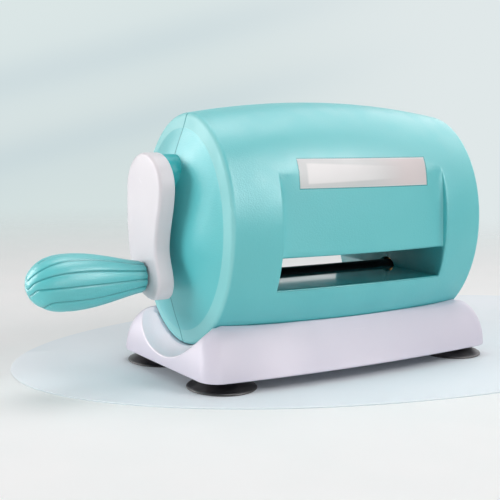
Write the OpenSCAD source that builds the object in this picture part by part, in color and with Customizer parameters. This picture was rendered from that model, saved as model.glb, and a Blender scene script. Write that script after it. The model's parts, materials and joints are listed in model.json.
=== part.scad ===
// Hand-cranked die cutting machine for paper crafts.
// X runs along the barrel with the crank at -X, the die slot faces -Y, and Z is up.
// The origin is on the table, under the middle of the overall length.

/* [Barrel] */
// Length of the barrel between its two rims
barrel_len = 140; // [136:1:150]
// Height of the barrel at the middle of its length
barrel_h = 110.6; // [109:0.2:113]
// How much lower the barrel's top line is at its rims than at the middle
rim_drop = 5.7; // [5:0.1:6.4]
// Front to back depth of the barrel at the middle of its length
barrel_d = 84.8; // [83:0.2:90]
// Height of the barrel's lowest line above the table
barrel_low_z = 8.2; // [7.8:0.1:9]
// Width of the flat band round each end
rim_band = 6.2; // [5:0.2:8]
// How far the crease inside that band stands out past the rim
band_out = 1.2; // [0.8:0.1:2]
// How far the dome inside the crease rises
dome_rise = 8.8; // [7.5:0.1:9.6]
// Rounding of the rim's outer edge
rim_round = 2.5; // [1.5:0.1:3]
// Wall thickness of the two shells
shell_wall = 2.2; // [1.8:0.1:2.4]
// Width of the parting line between the two shells
seam = 0.2; // [0.1:0.05:0.3]

/* [Die slot and apron] */
// Width of the apron and of the slot below it
slot_w = 91.6; // [86:0.2:93]
// Height of the slot's floor above the table
floor_z = 41; // [40.5:0.1:41.5]
// Height of the slot's ceiling, which is also the apron's lower edge
ceiling_z = 54.5; // [53.5:0.1:55.5]
// Height where the apron runs out into the barrel
apron_top_z = 90.5; // [86:0.5:94]
// How far the apron's lower edge leans out past its top edge
apron_lean = 2.9; // [2:0.1:3.5]
// Length of the label plate
label_w = 71.5; // [60:0.5:80]
// Height of the label plate's lower edge
label_low_z = 83.3; // [81:0.1:84]
// Height of the label plate's upper edge
label_high_z = 95.5; // [94:0.1:98]
// Thickness of the label plate
label_t = 0.8; // [0.5:0.1:1]

/* [Rollers and gears] */
// Diameter of the lower roller
lower_roller_d = 10; // [9.4:0.1:10.2]
// Diameter of the upper roller
upper_roller_d = 12; // [11:0.1:12.4]
// Height of the lower roller's axis above the table
lower_roller_z = 38.5; // [38.3:0.1:38.7]
// Diameter of the roller journals
journal_d = 7; // [6:0.2:7.6]
// Module of all four gears
gear_module = 1; // [1:0.01:1.02]
// Teeth of each of the two equal gears that couple the rollers
sync_teeth = 19; // [19:1:19]
// Teeth of the pinion on the crank shaft
pinion_teeth = 14; // [13:1:15]
// Teeth of the large gear on the upper roller
drive_teeth = 47; // [45:1:49]
// Face width of the two equal gears
sync_gear_w = 5; // [4:0.5:5]
// Face width of the pinion and the large gear
drive_gear_w = 6; // [5:0.5:6]

/* [Frame] */
// Distance between the insides of the two frame plates
frame_gap = 100; // [99:0.5:101]
// Thickness of the steel plates
plate_t = 1.5; // [1.2:0.1:1.8]
// Space between the left frame and the gear plate
gear_bay = 14.5; // [14.5:0.1:15]
// Diameter of the tie rods
tie_d = 5; // [4:0.2:5.4]

/* [Crank] */
// Diameter of the crank shaft
shaft_d = 8; // [7:0.2:8.4]
// Diameter of the hub between the arm and the barrel
hub_d = 15.8; // [14:0.2:17]
// Distance from the barrel's rim to the back of the arm
arm_stand_off = 13.5; // [13:0.1:15]
// Thickness of the arm
arm_t = 7.5; // [7:0.1:9]
// Distance from the crank's axis to the grip's axis
throw = 43; // [42:0.5:46]
// Lean of the line from the crank's axis to the grip's, in degrees
arm_lean = 3; // [0:0.5:5]
// Width of the arm's upper lobe
arm_lobe_w = 29.3; // [26:0.1:31]
// Width of the arm's waist
arm_waist_w = 23.4; // [20:0.1:25]
// Width of the arm's foot
arm_foot_w = 23.6; // [23:0.1:28]
// How far the middle of the lobe lies in front of the crank's axis
arm_lobe_shift = 1.3; // [0:0.1:2]
// How far the middle of the foot lies in front of the crank's axis
arm_foot_shift = 4.7; // [2:0.1:5]
// Rounding of the arm's edges
arm_round = 1.6; // [1:0.1:2.5]

/* [Grip] */
// Length of the grip
grip_len = 51; // [46:0.5:60]
// Diameter of the grip next to the arm
grip_neck_d = 13.4; // [13:0.1:15]
// Largest diameter of the grip
grip_belly_d = 23.4; // [20:0.2:26]
// Number of ribs round the grip
grip_ribs = 12; // [10:1:14]
// Depth of the grooves between the ribs
groove_depth = 0.7; // [0.4:0.1:0.9]
// Diameter of the steel axle inside the grip
axle_d = 5; // [4:0.2:5.4]

/* [Base] */
// Length of the base at its foot
base_len = 160.6; // [158:0.2:166]
// Depth of the base at its foot, at the middle of its length
base_d = 86.4; // [86:0.2:90]
// Depth of the base at its foot, near its corners
base_end_d = 77; // [75:0.5:80]
// Height of the base's lower edge above the table
base_low_z = 5; // [4.6:0.1:5.4]
// Height of the line where the base meets the barrel
base_high_z = 25.6; // [24.6:0.2:26.6]
// Wall thickness of the base
base_wall = 2.4; // [2:0.1:2.6]
// Radius of the base's corners at its foot
base_corner_r = 9; // [7:0.5:12]

/* [Suction cups] */
// Diameter of each suction cup
cup_d = 29.8; // [28:0.2:31]
// Distance between cup centres along the barrel
cup_span_x = 131.6; // [128:0.2:132]
// Distance between cup centres from front to back
cup_span_y = 52.4; // [50:0.2:53]

/* [Clearances] */
// Radial clearance of a running fit
running = 0.08; // [0.05:0.01:0.1]
// Radial clearance of a fixed fit
fixed = 0.05; // [0.03:0.01:0.08]
// Gap between parts that turn and parts that stand still
air = 0.5; // [0.4:0.1:0.7]
// Gap between mouldings that lie against each other
seat_gap = 0.3; // [0.2:0.05:0.4]

/* [Hidden] */

$fn = 48;
outer_sides = 48;   // sides of the barrel's oval sections, seen from outside
inner_sides = 28;   // the same inside, where nobody sees them
plain_fn = 20;      // sides of holes and bosses in the mouldings
far = 200;          // longer than anything it cuts

teal = [0.45, 0.77, 0.79];
white = [0.92, 0.92, 0.95];
rubber = [0.08, 0.08, 0.09];
steel = [0.62, 0.64, 0.67];
brass = [0.78, 0.66, 0.38];
silver = [0.80, 0.81, 0.83];
nylon = [0.90, 0.88, 0.80];

// Barrel
half_len = barrel_len / 2;
axis_z = barrel_low_z + barrel_h / 2;
rim_h = barrel_h - 2 * rim_drop;
flatness = barrel_d / barrel_h;
crease_r = rim_h / 2 - rim_band;
dome_tip = half_len + band_out + dome_rise;

// Heights of the axes
upper_roller_z = lower_roller_z + gear_module * sync_teeth;
crank_z = upper_roller_z + gear_module * (pinion_teeth + drive_teeth) / 2;
nip_low_z = lower_roller_z + lower_roller_d / 2;
nip_high_z = upper_roller_z - upper_roller_d / 2;

// Layers along X, given as distances from the barrel's middle
frame_x = frame_gap / 2;
frame_out_x = frame_x + plate_t;
plate_x = frame_out_x + gear_bay;
flange_t = 1;
sync_x = frame_out_x + flange_t + air;
drive_x = sync_x + sync_gear_w + air;
roller_end_x = frame_x - flange_t - 0.4;
arm_x = half_len + arm_stand_off;
grip_x = arm_x + arm_t + air;
grip_tip_x = grip_x + grip_len;

// The middle of the overall length goes to the origin
barrel_x = (grip_tip_x - max(dome_tip, base_len / 2, cup_span_x / 2 + cup_d / 2)) / 2;

// Holes and fixings
tie_y = 17;
tie_low_z = 31;
hollow_top_z = axis_z + barrel_h / 2 - rim_drop * pow(frame_out_x / half_len, 2) - shell_wall;
frame_high_z = crank_z + (hollow_top_z - crank_z) * 2 / 3;
tie_high_z = frame_high_z - 7;
tie_high_y = 14;
screw_d = 3;
head_d = 6;
head_t = 2;
flat_head_t = 1.3;    // the gear plate's screws, close to the domed end
spacer_y = 23;
spacer_d = 5;
spacer_low_z = lower_roller_z - 0.5;
spacer_high_z = 79;
tab_low_z = 16.5;
tab_len = 12;
tab_half_w = 12;
base_screw_x = frame_x - tab_len / 2;
base_screw_y = 8;
base_boss_low_z = base_low_z + 3;
nut_d = 5.5;
nut_t = 2.4;
shell_boss_d = 8.4;
shell_screw_x = 34;
shell_screw_high_z = frame_high_z + 2;
shell_screw_low_z = barrel_low_z + 13.8;
shell_head_y = 12;
shell_screw_end_y = -7;
bush_wall = 1.5;
flange_w = 1.6;
clip_t = 0.8;
clip_w = 2.2;
cup_boss_d = 13;
plug_d = 8;
plug_low_z = base_low_z + 2.5;
plug_t = 2.6;
plug_high_z = base_low_z + 8;
neck_d = 6;
axle_end = 9;       // bare length of grip beyond the axle's end
pin_d = 2.5;

// A ring of points: an oval across X, with half-height r
function oval(x, r, n) =
    [for (i = [0:n-1]) let (a = 360 * i / n) [x, flatness * r * sin(a), axis_z + r * cos(a)]];

// Half-height of the barrel at a distance x from its middle, inset by t
function barrel_r(x, t = 0) = barrel_h / 2 - rim_drop * pow(x / half_len, 2) - t;

// Distance of the domed end from the middle, at a half-height r
function dome_x(r) = half_len + band_out + dome_rise * (1 - pow(r / crease_r, 2));

// Half profile of the barrel from the middle of a dome to near the barrel's middle, as [x, r]
// pairs: through the dome at the shares in domes, round the rim at the angles in rims, and
// along the barrel at the shares in sides
function end_profile(t, domes, rims, sides) = concat(
    [for (s = domes) [dome_x(s * crease_r) - t, s * crease_r]],
    [for (a = rims)
        [half_len - rim_round + (rim_round - t) * sin(a),
         barrel_r(half_len - rim_round) - rim_round + (rim_round - t) * cos(a)]],
    [for (u = sides) [u * half_len, barrel_r(u * half_len, t)]]);

// A whole profile from its half, from the left dome to the right one
function both_ends(p) = concat([for (q = p) [-q[0], q[1]]], [for (i = [len(p)-1:-1:0]) p[i]]);

// The convex solid round a list of points
module skin(points) hull() polyhedron(points = points, faces = [[for (i = [0:len(points)-1]) i]]);

// A solid through a list of rings, each joined to the next
module loft(rings) {
    for (i = [0:len(rings)-2]) skin(concat(rings[i], rings[i+1]));
}

// The whole closed barrel, inset by t
module barrel_solid(t = 0)
    loft([for (q = both_ends(end_profile(t, [0.08, 0.4, 0.7, 0.9, 1], [80, 40, 0], [0.78, 0.5, 0.2])))
        oval(q[0], q[1], outer_sides)]);

// Its hollow, a wall t inside it
module barrel_hollow(t)
    loft([for (q = both_ends(end_profile(t, [0.1, 0.6, 1], [50], [0.6, 0.2]))) oval(q[0], q[1], inner_sides)]);

// Depth of the barrel's surface in front of its axis, at x and at height z
function barrel_y(x, z) = flatness * sqrt(pow(barrel_r(x), 2) - pow(z - axis_z, 2));

// The space in front of the apron, grown by t
module apron_cut(t = 0) {
    w = slot_w / 2 + t;
    function section(x) = [
        [x, t - barrel_y(x, apron_top_z), apron_top_z],
        [x, t - barrel_y(x, apron_top_z) - apron_lean, ceiling_z - t],
        [x, -barrel_d, ceiling_z - t],
        [x, -barrel_d, apron_top_z + t],
        [x, t - barrel_y(x, apron_top_z), apron_top_z + t / 4]];
    loft([for (u = [-1, -0.6, -0.2, 0.2, 0.6, 1]) section(u * w)]);
}

// The die passage, grown by t
module passage(t = 0) {
    translate([-slot_w / 2 - t, -barrel_d, floor_z - t])
        cube([slot_w + 2 * t, 2 * barrel_d, ceiling_z - floor_z + 2 * t]);
}

// A round bar along X from x0 to x1
module bar_x(d, x0, x1, y, z, sides = $fn)
    translate([x0, y, z]) rotate([0, 90, 0]) cylinder(d = d, h = x1 - x0, $fn = sides);

// Everything that both shells share: outer form, hollow, passage and shaft holes
module shell_form() {
    difference() {
        barrel_solid();
        apron_cut();
        difference() {
            barrel_hollow(shell_wall);
            apron_cut(shell_wall);
            passage(shell_wall);
        }
        passage();
        for (s = [[lower_roller_d + 2.4, lower_roller_z], [upper_roller_d + 2.4, upper_roller_z]])
            bar_x(s[0], -frame_x, frame_x, 0, s[1], plain_fn);
        bar_x(hub_d + 2 * air, -far, -half_len + rim_band, 0, crank_z, 2 * plain_fn);
        label_space(shell_wall, label_t + seat_gap / 2, seat_gap / 2);
    }
}

// Depth of the front face at x and height z: the barrel above, and the leaning apron below
function front_y(x, z) = z >= apron_top_z ? barrel_y(x, z)
    : barrel_y(x, apron_top_z) + apron_lean * (apron_top_z - z) / (apron_top_z - ceiling_z);

// The layer of the front that the label plate fills, from out in front of the face to deep
// behind it, grown by g at its edges, and bent along the apron's upper edge
module label_space(out, deep, g = 0) {
    for (band = [[label_low_z - g, apron_top_z], [apron_top_z, label_high_z + g]])
        loft([for (u = [-1, -0.5, 0, 0.5, 1]) let (x = u * (label_w / 2 + g))
            [for (p = [[0, out], [1, out], [1, -deep], [0, -deep]])
                [x, -front_y(x, band[p[0]]) - p[1], band[p[0]]]]]);
}

// A standing post for a base screw, from the shell's wall up to the frame's tab
module shell_foot_bosses(side) {
    for (x = [-base_screw_x, base_screw_x])
        intersection() {
            barrel_solid();
            translate([x, side * base_screw_y, 0])
                cylinder(d = head_d + 1, h = tab_low_z - 0.1, $fn = plain_fn);
        }
}

// Holes for the base screws through a shell
module shell_foot_holes() {
    for (x = [-base_screw_x, base_screw_x], y = [-base_screw_y, base_screw_y])
        translate([x, y, 0]) cylinder(d = screw_d + 0.5, h = tab_low_z + 1, $fn = plain_fn);
}

// Bosses along Y that take the screws between the shells
module joining_bosses() {
    intersection() {
        barrel_solid();
        for (x = [-shell_screw_x, shell_screw_x], z = [shell_screw_low_z, shell_screw_high_z])
            translate([x, barrel_d, z]) rotate([90, 0, 0])
                cylinder(d = shell_boss_d, h = 2 * barrel_d, $fn = plain_fn);
    }
}

// Holes in those bosses: a wide one for the head, and a narrow one for the thread
module joining_holes() {
    for (x = [-shell_screw_x, shell_screw_x], z = [shell_screw_low_z, shell_screw_high_z]) {
        translate([x, barrel_d, z]) rotate([90, 0, 0])
            cylinder(d = head_d + 0.4, h = barrel_d - shell_head_y, $fn = plain_fn);
        translate([x, barrel_d, z]) rotate([90, 0, 0])
            cylinder(d = screw_d + 4 * fixed, h = barrel_d - shell_screw_end_y + 0.5, $fn = plain_fn);
    }
}

module front_shell() {
    color(teal) difference() {
        union() {
            shell_form();
            shell_foot_bosses(-1);
            joining_bosses();
        }
        shell_foot_holes();
        joining_holes();
        translate([-far / 2, -seam / 2, -1]) cube([far, far, far]);
    }
}

module rear_shell() {
    color(teal) difference() {
        union() {
            shell_form();
            shell_foot_bosses(1);
            joining_bosses();
        }
        shell_foot_holes();
        joining_holes();
        translate([-far / 2, seam / 2 - far, -1]) cube([far, far, far]);
    }
}

module label_plate() color(silver) label_space(0, label_t);

// Half-depth of the base at x and at height share u, inset by t
function base_half_d(x, u, t) = let (w = pow(x / (base_len / 2), 2))
    (1 - w) * (base_d / 2 - (base_d / 2 - barrel_y(0, base_high_z)) * u)
    + w * (barrel_y(half_len, base_high_z)
        + (base_end_d / 2 - barrel_y(half_len, base_high_z)) * sqrt(1 - u * u)) - t;

// Half-length of the base at height share u, inset by t
function base_half_len(u, t) =
    half_len + 0.5 + (base_len / 2 - half_len - 0.5) * sqrt(1 - u * u) - t;

// One level outline of the base, as a ring of points with rounded corners
function base_ring(u, t) = let (
    z = base_low_z + (base_high_z - base_low_z) * u,
    a = base_half_len(u, t),
    r = max(base_corner_r * (1 - 0.45 * u) - t, 1),
    quarter = concat(
        [for (v = [0, 0.25, 0.5, 0.75]) let (x = v * (a - r)) [x, base_half_d(x, u, t)]],
        [for (c = [0:18:90]) [a - r + r * sin(c), base_half_d(a - r, u, t) - r + r * cos(c)]]),
    n = len(quarter))
    concat(
        [for (i = [0:n-1]) [quarter[i][0], quarter[i][1], z]],
        [for (i = [n-1:-1:0]) [quarter[i][0], -quarter[i][1], z]],
        [for (i = [0:n-1]) [-quarter[i][0], -quarter[i][1], z]],
        [for (i = [n-1:-1:0]) [-quarter[i][0], quarter[i][1], z]]);

// The base's outer form before anything is cut from it, inset by t
module base_form(t = 0) loft([for (u = [0, 0.25, 0.45, 0.62, 0.76, 0.87, 0.95, 1]) base_ring(u, t)]);

// The barrel's place in the base, with the scoops past its rims, grown by t
module cradle_space(t, sides) {
    loft([for (u = [-1, -0.6, -0.2, 0.2, 0.6, 1]) oval(u * half_len, barrel_r(u * half_len, -t), sides)]);
    for (side = [-1, 1])
        loft([for (x = [[0, 0], [2, 1.5], [4.6, 3], [7.5, 3.7], [14, 4.6]])
            oval(side * (half_len + x[0]), barrel_r(half_len, -t - x[1]), sides)]);
}

module base() {
    color(white) difference() {
        union() {
            difference() {
                base_form();
                difference() {
                    translate([0, 0, -0.01]) base_form(base_wall);
                    cradle_space(base_wall + seat_gap, inner_sides);
                }
            }
            intersection() {
                base_form();
                union() {
                    at_cups() cylinder(d = cup_boss_d, h = base_high_z, $fn = plain_fn);
                    at_base_screws() translate([0, 0, base_boss_low_z])
                        cylinder(d = head_d + 4, h = base_high_z, $fn = plain_fn);
                    for (x = [-base_screw_x, base_screw_x])
                        translate([x - base_wall / 2, -base_d / 2, base_boss_low_z])
                            cube([base_wall, base_d, base_high_z]);
                }
            }
        }
        cradle_space(seat_gap, outer_sides);
        at_cups() {
            cylinder(d = neck_d + 4 * fixed, h = plug_high_z, $fn = plain_fn);
            translate([0, 0, plug_low_z]) cylinder(d = plug_d + 4 * fixed, h = plug_t, $fn = plain_fn);
        }
        at_base_screws() cylinder(d = screw_d + 0.5, h = base_high_z, $fn = plain_fn);
    }
}

module at_cups() {
    for (x = [-cup_span_x / 2, cup_span_x / 2], y = [-cup_span_y / 2, cup_span_y / 2])
        translate([x, y, 0]) children();
}

module at_base_screws() {
    for (x = [-base_screw_x, base_screw_x], y = [-base_screw_y, base_screw_y])
        translate([x, y, 0]) children();
}

// One suction cup: a hollow skirt, a neck and a plug that snaps into the base
module suction_cup(side_x, side_y) {
    color(rubber) translate([side_x * cup_span_x / 2, side_y * cup_span_y / 2, 0])
        rotate_extrude() polygon([
            [0, 2.6], [cup_d / 2 - 6, 1.9], [cup_d / 2 - 1.4, 0], [cup_d / 2, 0],
            [cup_d / 2 - 0.4, 0.8], [cup_d / 2 - 4, 2.6], [cup_d / 2 - 8, 4.2],
            [cup_d / 2 - 8.6, base_low_z], [neck_d / 2, base_low_z],
            [neck_d / 2, plug_low_z + 0.1], [plug_d / 2, plug_low_z + 0.1],
            [plug_d / 2, plug_low_z + plug_t - 0.1], [neck_d / 2, plug_low_z + plug_t - 0.1],
            [neck_d / 2 - 0.6, plug_high_z - 0.4], [0, plug_high_z - 0.4]]);
}

module front_left_cup() suction_cup(-1, -1);
module front_right_cup() suction_cup(1, -1);
module rear_left_cup() suction_cup(-1, 1);
module rear_right_cup() suction_cup(1, 1);

module base_screws() {
    color(steel) at_base_screws() {
        translate([0, 0, base_boss_low_z - head_t]) cylinder(d = head_d, h = head_t);
        translate([0, 0, base_boss_low_z]) cylinder(d = screw_d, h = tab_low_z + 6 - base_boss_low_z);
    }
}

module base_nuts() {
    color(steel) at_base_screws() translate([0, 0, tab_low_z + plate_t]) difference() {
        cylinder(d = nut_d / cos(30), h = nut_t, $fn = 6);
        translate([0, 0, -1]) cylinder(d = screw_d + 2 * fixed, h = nut_t + 2);
    }
}

module shell_screws() {
    color(steel) for (x = [-shell_screw_x, shell_screw_x], z = [shell_screw_low_z, shell_screw_high_z])
        translate([x, 0, z]) rotate([90, 0, 0]) {
            translate([0, 0, -shell_head_y - head_t]) cylinder(d = head_d, h = head_t);
            translate([0, 0, -shell_head_y]) cylinder(d = screw_d, h = shell_head_y - shell_screw_end_y);
        }
}

// Outline of a frame plate, in Y and Z
frame_outline = [
    [-tab_half_w, tab_low_z], [tab_half_w, tab_low_z], [26, 32], [26, frame_high_z - 13],
    [15, frame_high_z], [-15, frame_high_z], [-26, frame_high_z - 13], [-26, 32]];

// A flat plate across X with a bent tab at its foot; side is -1 on the left and 1 on the right
module frame_plate(side) {
    color(steel) difference() {
        union() {
            translate([side * (frame_x + plate_t / 2), 0, 0]) across_x(plate_t) polygon(frame_outline);
            translate([side * (frame_x + plate_t / 2 - (tab_len + plate_t / 2) / 2), 0, tab_low_z + plate_t / 2])
                cube([tab_len + plate_t / 2, 2 * tab_half_w, plate_t], center = true);
        }
        bar_x(bush_d(journal_d) + 2 * fixed, -far, far, 0, lower_roller_z);
        bar_x(bush_d(journal_d) + 2 * fixed, -far, far, 0, upper_roller_z);
        if (side < 0) bar_x(bush_d(shaft_d) + 2 * fixed, -far, far, 0, crank_z);
        at_ties() rotate([0, 90, 0]) cylinder(d = screw_d + 0.3, h = 2 * far, center = true);
        if (side < 0) at_spacers() rotate([0, 90, 0]) cylinder(d = screw_d + 0.3, h = 2 * far, center = true);
        at_base_screws() cylinder(d = screw_d + 0.5, h = tab_low_z + 3);
    }
}

// Extrudes a Y-Z outline by t, centred on X = 0
module across_x(t) rotate([90, 0, 90]) linear_extrude(t, center = true) children();

module at_ties() {
    for (s = [[-tie_y, tie_low_z], [tie_y, tie_low_z], [-tie_high_y, tie_high_z], [tie_high_y, tie_high_z]])
        translate([0, s[0], s[1]]) children();
}

module at_spacers() {
    for (y = [-spacer_y, spacer_y], z = [spacer_low_z, spacer_high_z])
        translate([0, y, z]) children();
}

module left_frame() frame_plate(-1);
module right_frame() frame_plate(1);

// The outer plate that carries the far ends of the crank shaft and the upper roller
module gear_plate() {
    color(steel) difference() {
        translate([-plate_x - plate_t / 2, 0, 0]) across_x(plate_t) polygon([
            [-12, spacer_low_z - 5], [12, spacer_low_z - 5], [spacer_y + 1, spacer_low_z - 4],
            [spacer_y + 4, spacer_low_z], [spacer_y + 4, spacer_high_z + 2],
            [10, crank_z + 9], [-10, crank_z + 9],
            [-spacer_y - 4, spacer_high_z + 2], [-spacer_y - 4, spacer_low_z],
            [-spacer_y - 1, spacer_low_z - 4]]);
        bar_x(bush_d(journal_d) + 2 * fixed, -far, 0, 0, upper_roller_z);
        bar_x(bush_d(shaft_d) + 2 * fixed, -far, 0, 0, crank_z);
        at_spacers() rotate([0, 90, 0]) cylinder(d = screw_d + 0.3, h = 2 * far, center = true);
    }
}

module gear_spacers() {
    color(steel) at_spacers() difference() {
        bar_x(spacer_d, -plate_x, -frame_out_x, 0, 0);
        bar_x(screw_d + 0.3, -plate_x - 1, -frame_out_x + 1, 0, 0);
    }
}

// Screws through the gear plate and its spacers into the left frame
module gear_plate_screws() {
    color(steel) at_spacers() {
        bar_x(head_d - 0.6, -plate_x - plate_t - flat_head_t, -plate_x - plate_t, 0, 0);
        bar_x(screw_d, -plate_x - plate_t, -frame_x + 1, 0, 0);
    }
}

// A rod between the frame plates, drilled at both ends
module tie_rod(y, z) {
    color(steel) difference() {
        bar_x(tie_d, -frame_x, frame_x, y, z);
        bar_x(screw_d + 2 * fixed, -frame_x - 1, -frame_x + 8.5, y, z);
        bar_x(screw_d + 2 * fixed, frame_x - 8.5, frame_x + 1, y, z);
    }
}

module upper_front_tie_rod() tie_rod(-tie_high_y, tie_high_z);
module upper_rear_tie_rod() tie_rod(tie_high_y, tie_high_z);
module lower_front_tie_rod() tie_rod(-tie_y, tie_low_z);
module lower_rear_tie_rod() tie_rod(tie_y, tie_low_z);

module frame_screws() {
    color(steel) for (side = [-1, 1]) at_ties() mirror([side < 0 ? 1 : 0, 0, 0]) {
        bar_x(head_d, frame_out_x, frame_out_x + head_t, 0, 0);
        bar_x(screw_d, frame_x - 8, frame_out_x, 0, 0);
    }
}

// Outer diameter of a bush round a shaft of diameter d
function bush_d(d) = d + 2 * running + 2 * bush_wall;

// A flanged bush in a plate whose inner face is at distance x; side is -1 left, 1 right;
// the flange lies on the inner face, or on the outer one when outside is true
module bush(d, x, side, z, outside = false) {
    color(brass) mirror([side < 0 ? 1 : 0, 0, 0]) difference() {
        union() {
            bar_x(bush_d(d), x, x + plate_t, 0, z);
            bar_x(bush_d(d) + 2 * flange_w, outside ? x + plate_t : x - flange_t,
                outside ? x + plate_t + flange_t : x, 0, z);
        }
        bar_x(d + 2 * running, x - flange_t - 1, x + plate_t + flange_t + 1, 0, z);
    }
}

module upper_left_bush() bush(journal_d, frame_x, -1, upper_roller_z);
module upper_right_bush() bush(journal_d, frame_x, 1, upper_roller_z);
module upper_outer_bush() bush(journal_d, plate_x, -1, upper_roller_z, true);
module lower_left_bush() bush(journal_d, frame_x, -1, lower_roller_z);
module lower_right_bush() bush(journal_d, frame_x, 1, lower_roller_z);
module crank_inner_bush() bush(shaft_d, frame_x, -1, crank_z);
module crank_outer_bush() bush(shaft_d, plate_x, -1, crank_z, true);

// Involute of a circle of radius rb at roll angle t in degrees, as [radius, polar angle]
function involute(rb, t) = let (q = t * PI / 180) [rb * sqrt(1 + q * q), t - atan(q)];

// Half of the angle a tooth fills at radius r; the pitch thickness is thinned for backlash
function tooth_half_angle(teeth, r) = let (
    rp = gear_module * teeth / 2,
    rb = rp * cos(20),
    roll = function (x) sqrt(max(pow(x / rb, 2) - 1, 0)) * 180 / PI,
    inv = function (x) involute(rb, roll(x))[1],
    pitch_half = (90 - 9) / teeth)
    pitch_half + inv(rp) - inv(max(r, rb));

// Outline of a gear with its first tooth at angle phase
function gear_outline(teeth, phase) = let (
    rp = gear_module * teeth / 2,
    ra = rp + 0.92 * gear_module,
    rr = rp - 1.2 * gear_module)
    [for (i = [0:teeth-1]) let (c = phase + 360 * i / teeth)
        for (p = [
            [rr, -tooth_half_angle(teeth, rr) - 0.1 * 90 / teeth],
            [rp - 0.5 * gear_module, -tooth_half_angle(teeth, rp - 0.5 * gear_module)],
            [rp, -tooth_half_angle(teeth, rp)],
            [rp + 0.5 * gear_module, -tooth_half_angle(teeth, rp + 0.5 * gear_module)],
            [ra, -tooth_half_angle(teeth, ra)],
            [ra, tooth_half_angle(teeth, ra)],
            [rp + 0.5 * gear_module, tooth_half_angle(teeth, rp + 0.5 * gear_module)],
            [rp, tooth_half_angle(teeth, rp)],
            [rp - 0.5 * gear_module, tooth_half_angle(teeth, rp - 0.5 * gear_module)],
            [rr, tooth_half_angle(teeth, rr) + 0.1 * 90 / teeth]])
            [p[0] * cos(c + p[1]), p[0] * sin(c + p[1])]];

// A gear whose inner face is at distance x on the left, with a hub bore of diameter d
module gear(teeth, phase, x, w, z, d, tint) {
    color(tint) difference() {
        translate([-x - w / 2, 0, z]) across_x(w) polygon(gear_outline(teeth, phase));
        bar_x(d + 2 * fixed, -x - w - 1, -x + 1, 0, z);
    }
}

// Holes that lighten the large gear
web_hole_r = gear_module * drive_teeth * 0.29;
web_hole_d = gear_module * drive_teeth * 0.18;

module crank_pinion() gear(pinion_teeth, -90, drive_x, drive_gear_w, crank_z, shaft_d, steel);
module drive_gear() {
    difference() {
        gear(drive_teeth, 90 + 180 / drive_teeth, drive_x, drive_gear_w, upper_roller_z, journal_d, nylon);
        for (a = [0:60:300])
            translate([0, web_hole_r * sin(a), upper_roller_z + web_hole_r * cos(a)])
                bar_x(web_hole_d, -drive_x - drive_gear_w - 1, -drive_x + 1, 0, 0);
    }
}
module upper_sync_gear() gear(sync_teeth, -90, sync_x, sync_gear_w, upper_roller_z, journal_d, nylon);
module lower_sync_gear()
    gear(sync_teeth, 90 + 180 / sync_teeth, sync_x, sync_gear_w, lower_roller_z, journal_d, nylon);

// A retaining ring that sits in a groove of a shaft of diameter d, between x0 and x0 + clip_t
module clip(d, x0, z) {
    color(steel) difference() {
        bar_x(d + 2 * clip_w, x0, x0 + clip_t, 0, z);
        bar_x(d - 0.8 + 2 * fixed, x0 - 1, x0 + clip_t + 1, 0, z);
    }
}

// The groove for that ring
module clip_groove(d, x0, z) difference() {
    bar_x(d + 2, x0 - fixed, x0 + clip_t + fixed, 0, z);
    bar_x(d - 0.8, x0 - 1, x0 + clip_t + 1, 0, z);
}

right_clip_x = frame_out_x + air;

module upper_roller() {
    color(rubber) difference() {
        union() {
            bar_x(upper_roller_d, -roller_end_x, roller_end_x, 0, upper_roller_z);
            bar_x(journal_d, -plate_x - plate_t - flange_t - 0.5, right_clip_x + clip_t + 1, 0, upper_roller_z);
        }
        clip_groove(journal_d, right_clip_x, upper_roller_z);
    }
}

module lower_roller() {
    color(rubber) difference() {
        union() {
            bar_x(lower_roller_d, -roller_end_x, roller_end_x, 0, lower_roller_z);
            bar_x(journal_d, -sync_x - sync_gear_w, right_clip_x + clip_t + 1, 0, lower_roller_z);
        }
        clip_groove(journal_d, right_clip_x, lower_roller_z);
    }
}

module upper_clip() clip(journal_d, right_clip_x, upper_roller_z);
module lower_clip() clip(journal_d, right_clip_x, lower_roller_z);

shaft_end_x = -frame_x + flange_t + air;
socket_depth = 4.5;
hub_inner_x = half_len + 2.5;
hub_pin_x = hub_inner_x + 1.8;

module crank_shaft() {
    color(steel) difference() {
        bar_x(shaft_d, -arm_x - socket_depth, shaft_end_x + clip_t + 1, 0, crank_z);
        clip_groove(shaft_d, shaft_end_x, crank_z);
        hub_pin_hole();
    }
}

module shaft_clip() clip(shaft_d, shaft_end_x, crank_z);

module crank_hub() {
    color(teal) difference() {
        bar_x(hub_d, -arm_x, -hub_inner_x, 0, crank_z);
        bar_x(shaft_d + 2 * fixed, -arm_x - 1, -hub_inner_x + 1, 0, crank_z);
        hub_pin_hole();
    }
}

module hub_pin_hole() translate([-hub_pin_x, 0, crank_z]) rotate([90, 0, 0])
    cylinder(d = pin_d + 2 * fixed, h = hub_d + 2, center = true);

module hub_pin() color(steel) translate([-hub_pin_x, 0, crank_z]) rotate([90, 0, 0])
    cylinder(d = pin_d, h = hub_d - 0.6, center = true);

// Place of the grip's axis
grip_y = -throw * sin(arm_lean);
grip_z = crank_z - throw * cos(arm_lean);

// The arm's outline, by the distance s below the crank's axis
arm_top = 8.7;          // the arm's top above the crank's axis
arm_cap = 14.7;         // height of the rounded top
arm_foot = 8.9;         // the foot's end below the grip's axis
arm_foot_cap = 9.4;     // height of the rounded foot
arm_toe = 4;            // how much farther to the front the foot's lowest point lies
arm_waist_s = 35;       // distance of the waist below the crank's axis
arm_waist_shift = 0.2;  // how far the middle of the waist lies in front of the crank's axis

// A half wave that rises from 0 at a to 1 at b
function ease(s, a, b) = (1 - cos(180 * max(0, min((s - a) / (b - a), 1)))) / 2;

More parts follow.
